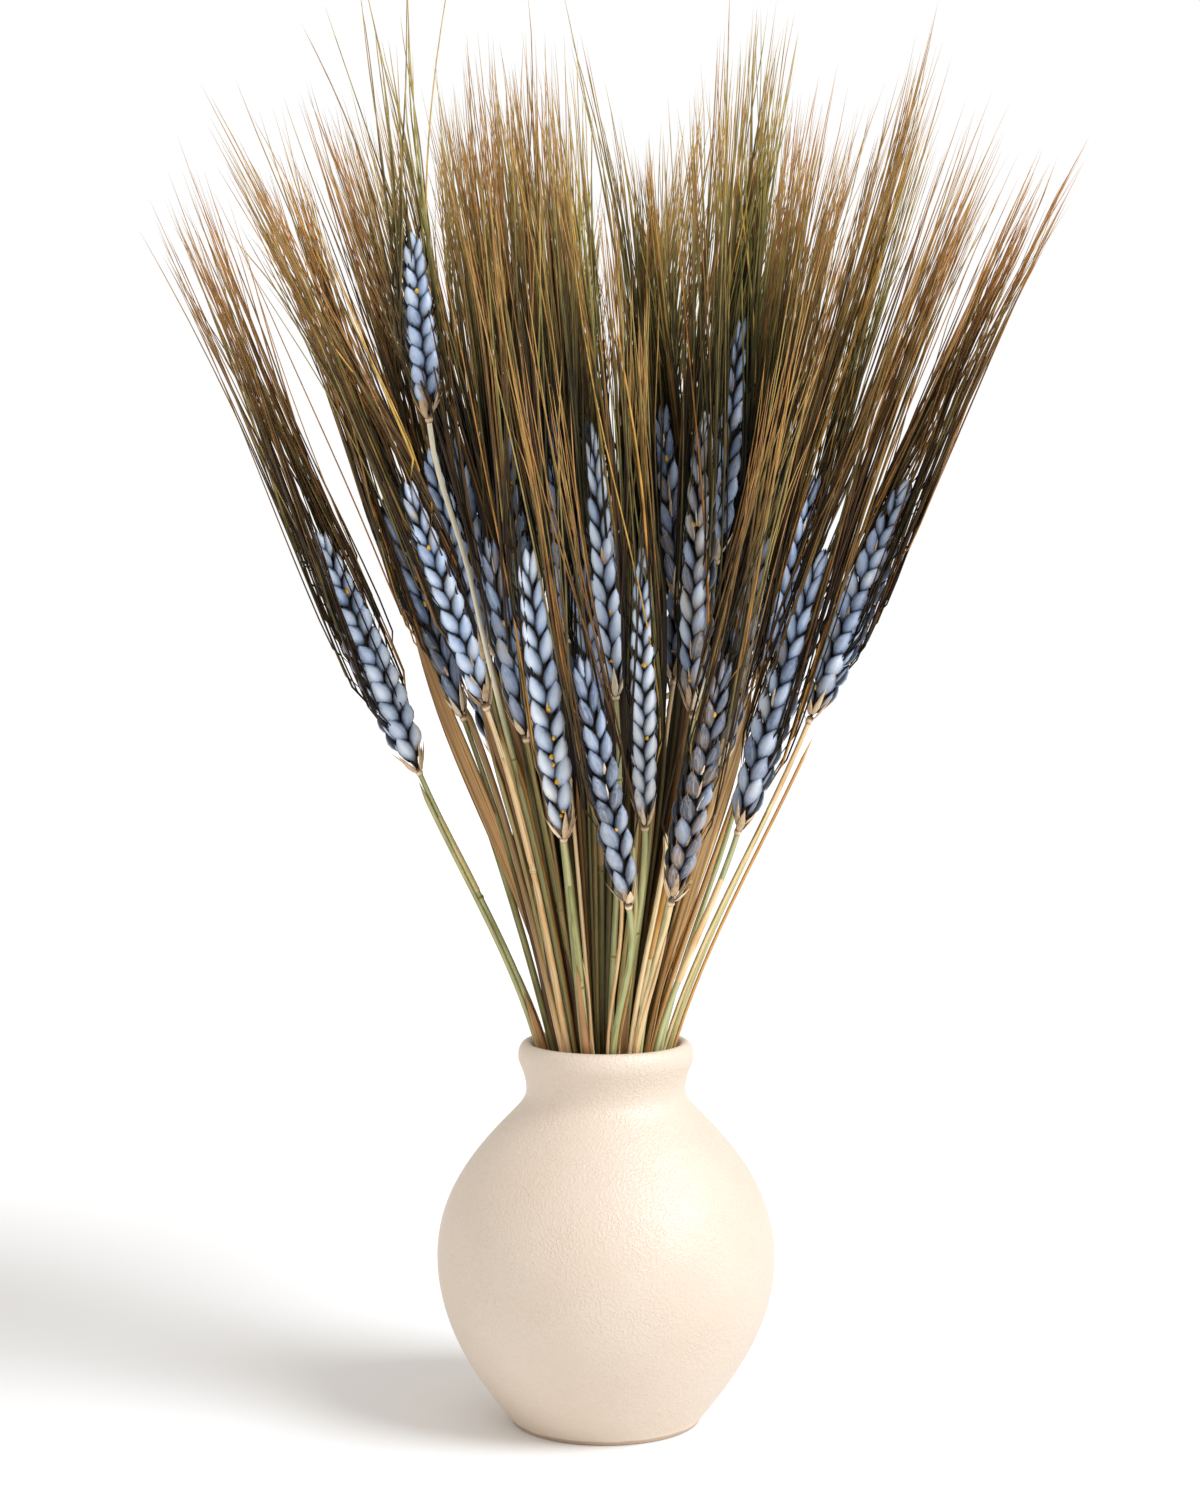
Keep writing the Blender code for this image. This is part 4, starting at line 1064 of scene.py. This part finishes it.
def broad_leaf(path, height, tip, half_width, tone, bearing, draw):
    """A broad dry leaf along a cubic Bezier curve from its stem to its tip, rippled by a sine."""
    share = np.linspace(0.0, 1.0, LEAF_STEPS)
    root = at_height(path, height)
    way = unit(at_height(path, height + 0.01) - root)
    whole = np.linalg.norm(tip - root)
    last = unit(0.4 * way + 0.6 * (tip - root) / whole)
    line = cubic(root, root + way * whole / 3.0, tip - last * whole / 3.0, tip, share)
    facing = np.array([math.cos(math.radians(bearing)), math.sin(math.radians(bearing)), 0.0])
    line = line + facing * (0.0008 * np.sin(9.0 * share + draw.uniform(0.0, 6.0)) * share)[:, None]
    # Pale leaves are painted as nearly fully lit, dark ones take deep painted shade
    least = 0.85 if tone > 0.35 else 0.15
    return thin_leaf(line, facing, half_width * outline(share[1:-1], 1.2, 0.7), tone, 60.0, least, draw)


def blade(path, height, length, bearing, half_width, tone, curl, draw):
    """A narrow dry blade that rises beside its stem and turns slowly round its own length.

    Its middle is the stem's path at the same height, moved off sideways by the stem's radius plus a gap
    that grows with the share of its length.
    """
    share = np.linspace(0.0, 1.0, LEAF_STEPS)
    heights = height + length * share
    angle = math.radians(bearing) + 0.9 * curl * share
    off = np.stack([np.cos(angle), np.sin(angle), 0.0 * angle], axis=-1)
    wave = 0.0006 * np.sin(7.0 * share + draw.uniform(0.0, 6.0)) * share
    gap = stem_radius(heights) * 0.8 + 0.0008 * share ** 1.3 + wave
    line = at_height(path, heights) + off * gap[:, None]
    return thin_leaf(line, off, half_width * outline(share[1:-1], 0.8, 0.6), tone, -70.0 * curl, 0.0, draw)


def make_leaves():
    """The broad dry leaves of the front stems, and narrow ones and loose sheaths on most stems."""
    draw = np.random.default_rng(LEAF_SEED)
    blades = [[] for _ in STALKS]
    for ear, height, tip, half_width, tone, bearing in LEAVES:
        tip = np.array(tip) / 1000.0
        leaf = broad_leaf(STEM_PATHS[ear - 1], height, tip, half_width / 1000.0, tone, bearing, draw)
        blades[ear - 1].append(leaf)
    for number, path in enumerate(STEM_PATHS):
        for _ in range(draw.integers(0, 3)):
            height = draw.uniform(*NARROW_HEIGHTS)
            length = min(draw.uniform(*NARROW_LENGTHS), path[-1, 2] - height - 0.008)
            tone = draw.choice(NARROW_TONES)
            bearing, half_width = draw.uniform(0.0, 360.0), draw.uniform(*NARROW_HALF_WIDTHS)
            leaf = blade(path, height, length, bearing, half_width, tone, draw.uniform(*NARROW_CURLS), draw)
            if number + 1 not in BARE_STEMS:
                blades[number].append(leaf)
    for number, pair in enumerate(PAIRS, 1):
        shells = [shell for i in pair for shell in blades[i]]
        if shells:
            make_piece(f"leaves_{number:02d}", shells, [f"stems_{number:02d}"])


# Ears


def ear_girth(share):
    """Girth of an ear at a share of its length, 1 where it is widest."""
    share = np.clip(share, 0.0, 1.0)
    base = 1.0 - EAR_BASE_TAPER * (np.clip(EAR_WIDEST - share, 0.0, None) / EAR_WIDEST) ** 2
    return base - EAR_TIP_TAPER * (np.clip(share - EAR_WIDEST, 0.0, None) / (1.0 - EAR_WIDEST)) ** 2


def around(draw, middle, spread, count):
    """Random values near a middle one, within 0 and 1."""
    return np.clip(draw.normal(middle, spread, (count, 1)), 0.0, 1.0)


class Ear:
    """An ear's axes, and the places of its florets in four columns that are staggered by half a floret."""

    def __init__(self, stalk, pitch, draw):
        self.foot, self.along, self.length, self.radius, turn = stalk
        side = unit(np.cross([0.0, 1.0, 0.0], self.along))
        front = np.cross(self.along, side)
        self.broad = side * math.cos(turn) + front * math.sin(turn)
        self.narrow = np.cross(self.along, self.broad)
        body = self.length - NECK_LENGTH - APEX_LENGTH
        self.rows = max(5, round(body / pitch))
        self.rise = body / self.rows
        column = np.tile(np.arange(COLUMNS), self.rows)
        row = np.repeat(np.arange(self.rows), COLUMNS)
        self.start = NECK_LENGTH + self.rise * (row + 0.5 * (column % 2) - 0.25)
        self.start = self.start + draw.normal(0.0, 0.05 * self.rise, len(row))
        self.lean = np.where(column % 2 == 0, -1.0, 1.0)
        self.bearing = np.radians(45.0 + 90.0 * column - 7.0 * self.lean) + draw.normal(0.0, 0.05, len(row))
        self.size = draw.normal(1.0, 0.045, len(row))

    def outward(self, bearing):
        """Directions square to the ear: broad * cos + narrow * sin."""
        bearing = np.asarray(bearing)[..., None]
        return self.broad * np.cos(bearing) + self.narrow * np.sin(bearing)

    def place(self, bearing, height, radius, aside=0.0):
        """Points at a height along the ear, a distance from its axis, and a distance round it."""
        out = self.outward(bearing)
        beside = np.cross(self.along, out)
        height, radius, aside = [np.asarray(value)[..., None] for value in (height, radius, aside)]
        return self.foot + self.along * height + out * radius + beside * aside

    def girth(self, height):
        """Radius of the ear at a height along it."""
        return self.radius * ear_girth(height / self.length)

    def floret_path(self, share):
        """Middle line of every floret, which climbs outwards and away from the groove, and its girth."""
        length = 1.52 * self.rise * self.size
        girth = self.girth(self.start + 0.5 * length)[:, None]
        height = self.start[:, None] + length[:, None] * share
        radius = girth * (0.19 + 0.61 * share + 0.07 * np.sin(math.pi * share))
        aside = girth * self.lean[:, None] * (0.32 * share - 0.16)
        return self.place(self.bearing[:, None], height, radius, aside), girth[:, 0]

    def husks(self, bearing, height, radius, width, high, flat, finish, aside=0.0, **looks):
        """Small six-sided shells that lie along the ear and face away from it, one to a bearing."""
        line = self.place(bearing, height, radius, aside)
        section = ring_section(6, flat=flat)
        return loft(line, self.outward(bearing), width, width * high, section, finish, **looks)


def floret_shells(ear, look, draw):
    """All florets of an ear, with two more that close its tip."""
    path, girth = ear.floret_path(FLORET_SHARES)
    width = outline(FLORET_SHARES[1:-1], 1.25, 0.90)
    count = len(girth)
    tone = around(draw, look.brightness, 0.12, count)
    warmth = around(draw, look.warmth, 0.16, count)
    section = ring_section(8, flat=0.55, keel=0.10)
    half = (0.455 * girth * ear.size)[:, None]
    shells = [loft(
        path, ear.outward(ear.bearing + np.radians(-10.0) * ear.lean)[:, None], half * width,
        0.80 * half * width, section, "blue_floret", tone=tone, warmth=warmth, shift=any_shift(draw, count),
    )]
    for bearing in (math.radians(270.0), math.radians(90.0)):
        height = ear.length - ear.rise * 1.15 + 1.35 * ear.rise * FLORET_SHARES
        line = ear.place(bearing, height, ear.radius * (0.10 + 0.10 * np.sin(math.pi * FLORET_SHARES)))
        shells.append(loft(
            line, ear.outward(bearing), 0.26 * ear.radius * width, 0.20 * ear.radius * width, section,
            "blue_floret", tone=look.brightness + 0.1, warmth=look.warmth + 0.1, shift=any_shift(draw),
        ))
    return shells


def glume_shells(ear, look, draw):
    """Narrow husks in the side grooves, which show as slivers at the ear's edges."""
    count = 2 * ear.rows
    order = np.arange(count)[:, None]
    bearing = np.where(order % 2 == 0, 0.0, math.pi) + draw.normal(0.0, 0.12, (count, 1))
    row = order // 2 + draw.uniform(-0.15, 0.15, (count, 1))
    share = np.array([0.0, 0.08, 0.28, 0.52, 0.78, 1.0])
    height = NECK_LENGTH + ear.rise * (row + 1.25 * share - 0.1)
    width = np.array([0.5, 0.95, 1.0, 0.6]) * 0.21 * ear.radius
    warmth = around(draw, look.warmth + 0.12, 0.2, count)
    return [ear.husks(
        bearing, height, ear.girth(height) * (0.30 + 0.50 * share), width, 0.6, 0.5, "blue_floret",
        tone=around(draw, look.brightness - 0.12, 0.15, count), warmth=warmth, shift=any_shift(draw, count),
    )]


def bract_shells(ear, look, draw):
    """Split papery bracts at the ear's base, and loose slivers of husk between its florets."""
    share = np.array([0.0, 0.10, 0.32, 0.58, 0.84, 1.0])
    count = BRACTS
    bearing = np.radians(np.linspace(0.0, 360.0, count, endpoint=False))[:, None]
    bearing = bearing + draw.normal(0.0, 0.2, (count, 1))
    length = draw.uniform(0.0060, 0.0115, (count, 1))
    height = draw.uniform(0.0, 0.0030, (count, 1)) + length * share
    radius = 0.0009 + ear.radius * draw.uniform(0.55, 0.86, (count, 1)) * share ** 0.8
    width = np.array([0.7, 1.0, 0.75, 0.30]) * draw.uniform(0.0008, 0.0014, (count, 1))
    shells = [ear.husks(
        bearing, height, radius, width, 0.24, 0.4, "papery_husk",
        tone=draw.uniform(0.60, 1.0, (count, 1)), shift=any_shift(draw, count),
    )]
    count = int(1 + 24 * look.warmth)
    chosen = draw.integers(0, len(ear.start), (count, 1))
    bearing = ear.bearing[chosen] - ear.lean[chosen] * draw.uniform(0.35, 0.75, (count, 1))
    height = ear.start[chosen] + 0.3 * ear.rise + draw.uniform(0.0035, 0.0075, (count, 1)) * share
    radius = ear.girth(height) * (0.52 + 0.34 * share)
    width = np.array([0.8, 1.0, 0.8, 0.4]) * draw.uniform(0.0003, 0.0007, (count, 1))
    shells.append(ear.husks(
        bearing, height, radius, width, 0.35, 0.4, "papery_husk",
        tone=draw.uniform(0.55, 1.0, (count, 1)), shift=any_shift(draw, count),
    ))
    return shells


def axis_shells(ear, draw):
    """The jointed axis that the florets stand on, near black, partly its own colour and partly painted shade
    that shows in the gaps between the florets, and the small pale collar under it.
    """
    share = np.linspace(0.0, 1.0, 14)
    line = ear.place(0.0, 0.0004 + (ear.length - 0.004) * share, 0.0)
    size = (0.40 * ear.radius * ear_girth(share) * smooth(share * 7.0 + 0.34))[1:-1]
    facing = ear.outward(0.3)
    collar = ear.place(0.0, COLLAR_HEIGHTS, 0.0)
    return [
        # Near-black tone: partly painted shade in the gaps between the florets
        tube(line, size, "papery_husk", facing, 8, tone=0.06),
        tube(
            collar, COLLAR_SWELL * STEM_TOP_RADIUS, "papery_husk", facing,
            tone=COLLAR_TONES, shift=any_shift(draw),
        ),
    ]


def anther_shells(ear, number, draw):
    """Golden specks in the grooves of the ear's faces: small beads with uneven sides."""
    count = GOLDEN_ANTHERS if number + 1 in GOLDEN_EARS else ANTHERS
    face = np.where(draw.random((count, 1)) < 0.65, 270.0, 90.0)
    bearing = np.radians(face) + draw.normal(0.0, 0.16, (count, 1))
    row = draw.integers(0, ear.rows - 1, (count, 1)) + 0.6 + draw.normal(0.0, 0.12, (count, 1))
    height = NECK_LENGTH + ear.rise * row
    share = np.linspace(0.0, 1.0, 5)
    length = draw.uniform(0.0010, 0.0026, (count, 1))
    aside = draw.normal(0.0, 0.0004, (count, 1)) * share
    width = np.array([0.8, 1.0, 0.7]) * draw.uniform(0.00055, 0.00095, (count, 1))
    return [ear.husks(
        bearing, height + length * share, ear.girth(height) * (0.60 + 0.10 * share), width, 1.0, 1.0,
        "golden_anther", aside, shift=any_shift(draw, count),
    )]


def build_ear(number):
    """The ear of one stalk, laid out the same way each time."""
    draw = np.random.default_rng((EAR_SEED, number))
    pitch = PITCHES.get(number + 1, bpy.context.scene.wheat_settings.floret_pitch)
    return Ear(STALKS[number], pitch, draw), draw


def make_ears():
    """Every ear as one piece: axis, collar, florets, glumes, bracts and anthers."""
    for number, look in enumerate(LOOKS):
        ear, draw = build_ear(number)
        shells = floret_shells(ear, look, draw) + glume_shells(ear, look, draw)
        shells += bract_shells(ear, look, draw) + axis_shells(ear, draw) + anther_shells(ear, number, draw)
        make_piece(f"florets_{number + 1:02d}", shells, [f"ear_{number + 1:02d}"])


def awn_ends(ear, tip, spread, reach, aside, longer, draw):
    """Ends of awns: beyond the ear's tip by a reach, moved off by a spread, and drawn back where they would
    stand in the dip of the fan's top, too far from its centre or outside the solid model's box."""
    way = unit(ear.along * [1.0 + AWN_SWEEP, 1.0 + AWN_SWEEP, 1.0])
    end = tip + way * reach + spread + aside * (reach / AWN_REACH[2])
    dip = DIP_DEPTH * np.exp(-(((end[:, :1] - DIP_PLACE) / DIP_HALF_WIDTH) ** 2))
    end = tip + (end - tip) * (1.0 - dip)
    limit = draw.uniform(*FAN_RADIUS, reach.shape) * (1.0 - FAN_SIDE_LOSS * (1.0 - ear.along[2]))
    limit = limit * (0.6 + 0.4 * longer)
    beyond = np.linalg.norm(end - FAN_CENTRE, axis=1, keepdims=True)
    far = np.linalg.norm(end - tip, axis=1, keepdims=True)
    end = tip + (end - tip) * (1.0 - np.clip(beyond - limit, 0.0, None) / far)
    return np.clip(end, np.array(CAD_BOX[0]) - BOX_MARGIN, np.array(CAD_BOX[1]) + BOX_MARGIN)


def awn_shells(ear, look, count, aside, wide, longer, root_radius, draw):
    """The awns of an ear: cubic Bezier needles from the florets' tips that bend into the ear's way.

    The ends are drawn towards the nearest of a few leading awns' and take after its colour, which makes
    tufts. A slow sine sways each needle, a bulge at its foot carries it to the ear's edge so that the florets
    show, and its radius shrinks towards the tip.
    """
    def between(low, high):
        return draw.uniform(low, high, (count, 1))

    def either_way(spread):
        return draw.normal(0.0, spread, (count, 1))

    florets = len(ear.start)
    chosen = np.concatenate([draw.permutation(florets) for _ in range(count // florets + 1)])[:count]
    tips, _ = ear.floret_path(np.array([0.86, 1.0]))
    tips = tips[chosen]
    out = ear.outward(ear.bearing[chosen])
    beside = np.cross(ear.along, out)
    jitter = draw.normal(0.0, 1.0, (count, 2))
    root = tips[:, 0] * 0.4 + tips[:, 1] * 0.6
    root = root + beside * (0.0007 * jitter[:, :1]) + ear.along * (0.0010 * jitter[:, 1:])
    reach = longer * draw.triangular(*AWN_REACH, (count, 1))
    wild = draw.random((count, 1)) < WILD_AWNS
    spread = wide * (out * between(-0.004, 0.015) + beside * either_way(0.0064))
    near = np.linalg.norm(spread[:, None] - spread[None, :AWN_TUFTS], axis=2).argmin(axis=1)
    pull = np.where(wild, 0.0, TUFT_PULL)
    spread = spread * np.where(wild, WILD_SPREAD, 1.0) + pull * (spread[near] - spread)
    reach = reach + TUFT_REACH * (reach[near] - reach)
    tip = ear.foot + ear.along * ear.length
    end = awn_ends(ear, tip, spread, reach, aside, longer, draw)
    whole = np.linalg.norm(end - root, axis=1, keepdims=True)
    first = root + unit(ear.along + out * between(0.0, 0.12) + beside * either_way(0.05)) * whole * 0.24
    second = end - unit(end - tip + out * either_way(0.004) + beside * either_way(0.004)) * whole * 0.38
    share = np.linspace(0.0, 1.0, AWN_STEPS)
    line = cubic(root[:, None], first[:, None], second[:, None], end[:, None], share)
    swing = between(0.0, 0.0018) * np.sin(between(5.0, 11.0) * share + between(0.0, 6.3))
    line = line + beside[:, None] * (swing * share)[..., None]
    edge = np.sign(out @ ear.broad)[:, None] * np.where(draw.random((count, 1)) < 0.86, 1.0, -0.2)
    bulge = edge * ear.radius * between(0.30, 0.75) * smooth(share / 0.10) * (1.0 - share) ** 1.5
    line = line + ear.broad * bulge[..., None]
    radius = root_radius * between(0.75, 1.20) * (1.0 - 0.70 * share[1:-1] ** 1.2)
    tone = draw.random((count, 1))
    tone = np.where(wild, 1.0, tone + TUFT_LIKENESS * (tone[near] - tone))
    warmth = around(draw, look.hue, 0.40, count)
    warmth = warmth + TUFT_LIKENESS * (warmth[near] - warmth)
    # Each awn's points carry the bunch's painted light
    return [tube(
        line, radius, "bearded_awn", out[:, None], 3,
        tone=tone, warmth=warmth, shift=any_shift(draw, count), light=daylight(line),
    )]


def make_awns():
    """The awns of every ear as one piece."""
    settings = bpy.context.scene.wheat_settings
    for number, look in enumerate(LOOKS):
        ear, _ = build_ear(number)
        draw = np.random.default_rng((AWN_SEED, number))
        share, right, back, wide = AWN_CARE.get(number + 1, (1.0, 0.0, 0.0, 1.0))
        if number >= len(FRONT_EARS):
            share, wide = BACK_AWNS, BACK_SPREAD
        count, aside = round(settings.awns_per_ear * share), np.array([right, back, 0.0]) / 1000.0
        longer = LONG_AWNS.get(number + 1, 1.0)
        shells = awn_shells(ear, look, count, aside, wide, longer, settings.awn_radius, draw)
        make_piece(f"awns_{number + 1:02d}", shells, [f"ear_{number + 1:02d}"])


# Stage


def make_floor():
    mesh = bpy.data.meshes.new("studio_floor")
    corners = [(x * FLOOR_REACH, y * FLOOR_REACH, 0.0) for x, y in ((-1, -1), (1, -1), (1, 1), (-1, 1))]
    mesh.from_pydata(corners, [], [(0, 1, 2, 3)])
    mesh.materials.append(get_finish("pale_floor"))
    floor = bpy.data.objects.new("studio_floor", mesh)
    bpy.context.scene.collection.objects.link(floor)


def make_lights():
    """White surroundings that fill the shadows, and one broad key light from the right front above."""
    settings = bpy.context.scene.stage_settings
    world = bpy.data.worlds.new("white_studio")
    world.use_nodes = True
    world.node_tree.nodes.clear()
    nodes = Nodes(world.node_tree)
    fill = nodes.add("ShaderNodeBackground", {"Color": FILL_COLOUR, "Strength": settings.fill})
    seen = nodes.add("ShaderNodeBackground", {"Color": (1.0, 1.0, 1.0, 1.0), "Strength": 1.0})
    ray = nodes.add("ShaderNodeLightPath").outputs["Is Camera Ray"]
    both = nodes.add("ShaderNodeMixShader", {0: ray, 1: fill.outputs[0], 2: seen.outputs[0]})
    nodes.add("ShaderNodeOutputWorld", {"Surface": both.outputs[0]})
    bpy.context.scene.world = world
    key = bpy.data.lights.new("key", "SUN")
    key.energy = settings.key
    key.angle = KEY_SIZE
    key.color = KEY_COLOUR
    lamp = bpy.data.objects.new("key", key)
    away = unit(np.array(KEY_DIRECTION))
    lamp.rotation_euler = (math.acos(away[2]), 0.0, math.atan2(away[0], -away[1]))
    bpy.context.scene.collection.objects.link(lamp)


def make_camera():
    camera = bpy.data.cameras.new("camera")
    camera.lens = CAMERA_LENS
    camera.sensor_width = SENSOR
    camera.clip_start, camera.clip_end = CAMERA_CLIP
    holder = bpy.data.objects.new("camera", camera)
    holder.location = CAMERA_PLACE
    holder.rotation_euler = (math.pi / 2.0 - CAMERA_PITCH, 0.0, 0.0)
    bpy.context.scene.collection.objects.link(holder)
    bpy.context.scene.camera = holder
    bpy.context.scene.view_settings.view_transform = "Standard"


# Settings, operators and panel


def colour_field(name, description, default):
    return bpy.props.FloatVectorProperty(
        name=name, description=description, default=default, min=0.0, max=1.0, size=3, subtype="COLOR",
    )


def length_field(name, description, default, low, high):
    return bpy.props.FloatProperty(
        name=name, description=description, default=default, min=low, max=high, precision=5, unit="LENGTH",
    )


def strength_field(name, description, default, high):
    return bpy.props.FloatProperty(name=name, description=description, default=default, min=0.0, max=high)


class VaseSettings(bpy.types.PropertyGroup):
    glaze: colour_field("Glaze", "Colour of the matte glaze", (0.738, 0.620, 0.505))
    relief: length_field("Relief", "Depth of the fine wrinkles in the glaze", 0.00023, 0.0, 0.002)


class WheatSettings(bpy.types.PropertyGroup):
    floret_pitch: length_field(
        "Floret pitch", "Distance from one floret to the next along a column", 0.0086, 0.004, 0.02,
    )
    floret_colour: colour_field("Florets", "Colour of a floret of middling brightness", (0.372, 0.485, 0.73))
    awns_per_ear: bpy.props.IntProperty(
        name="Awns per ear", description="Number of awns that one ear carries", default=92, min=8, max=200,
    )
    awn_radius: length_field(
        "Awn radius", "Radius of an awn where it leaves its floret", 0.00043, 0.0001, 0.001,
    )


class StageSettings(bpy.types.PropertyGroup):
    floor_colour: colour_field("Floor", "Colour of the studio floor", (0.90, 0.90, 0.90))
    key: strength_field("Key light", "Strength of the light from the right front", 2.65, 20.0)
    fill: strength_field("Fill light", "Strength of the white surroundings", 0.77, 5.0)


class WHEAT_OT_vase(bpy.types.Operator):
    """Build the glazed vase"""
    bl_idname = "wheat.vase"
    bl_label = "Vase"

    def execute(self, context):
        make_vase()
        return {"FINISHED"}


class WHEAT_OT_stems(bpy.types.Operator):
    """Build the stems with their nodes and sheaths"""
    bl_idname = "wheat.stems"
    bl_label = "Stems"

    def execute(self, context):
        make_stems()
        return {"FINISHED"}


class WHEAT_OT_leaves(bpy.types.Operator):
    """Build the dry leaves on the stems"""
    bl_idname = "wheat.leaves"
    bl_label = "Leaves"

    def execute(self, context):
        make_leaves()
        return {"FINISHED"}


class WHEAT_OT_ears(bpy.types.Operator):
    """Build the ears floret by floret"""
    bl_idname = "wheat.ears"
    bl_label = "Ears"

    def execute(self, context):
        make_ears()
        return {"FINISHED"}


class WHEAT_OT_awns(bpy.types.Operator):
    """Build the awns of every ear"""
    bl_idname = "wheat.awns"
    bl_label = "Awns"

    def execute(self, context):
        make_awns()
        return {"FINISHED"}


class WHEAT_OT_stage(bpy.types.Operator):
    """Set up the floor, the lights and the camera"""
    bl_idname = "wheat.stage"
    bl_label = "Stage"

    def execute(self, context):
        make_floor()
        make_lights()
        make_camera()
        return {"FINISHED"}


OPERATORS = (WHEAT_OT_vase, WHEAT_OT_stems, WHEAT_OT_leaves, WHEAT_OT_ears, WHEAT_OT_awns, WHEAT_OT_stage)
SETTINGS = (
    ("vase_settings", VaseSettings, "Vase"), ("wheat_settings", WheatSettings, "Wheat"),
    ("stage_settings", StageSettings, "Stage"),
)


class WHEAT_PT_panel(bpy.types.Panel):
    """Settings and operators of the vase of wheat"""
    bl_idname = "WHEAT_PT_panel"
    bl_label = "Vase of dried wheat"
    bl_space_type = "VIEW_3D"
    bl_region_type = "UI"
    bl_category = "Wheat vase"

    def draw(self, context):
        for name, group, title in SETTINGS:
            box = self.layout.box()
            box.label(text=title)
            for field in group.__annotations__:
                box.prop(getattr(context.scene, name), field)
        for operator in OPERATORS:
            self.layout.operator(operator.bl_idname)


def register():
    for name, group, _ in SETTINGS:
        bpy.utils.register_class(group)
        setattr(bpy.types.Scene, name, bpy.props.PointerProperty(type=group))
    for operator in OPERATORS:
        bpy.utils.register_class(operator)
    bpy.utils.register_class(WHEAT_PT_panel)


def unregister():
    bpy.utils.unregister_class(WHEAT_PT_panel)
    for operator in reversed(OPERATORS):
        bpy.utils.unregister_class(operator)
    for name, group, _ in reversed(SETTINGS):
        delattr(bpy.types.Scene, name)
        bpy.utils.unregister_class(group)


def main():
    register()
    bpy.ops.wheat.vase()
    bpy.ops.wheat.stems()
    bpy.ops.wheat.leaves()
    bpy.ops.wheat.ears()
    bpy.ops.wheat.awns()
    bpy.ops.wheat.stage()


if __name__ == "__main__":
    main()
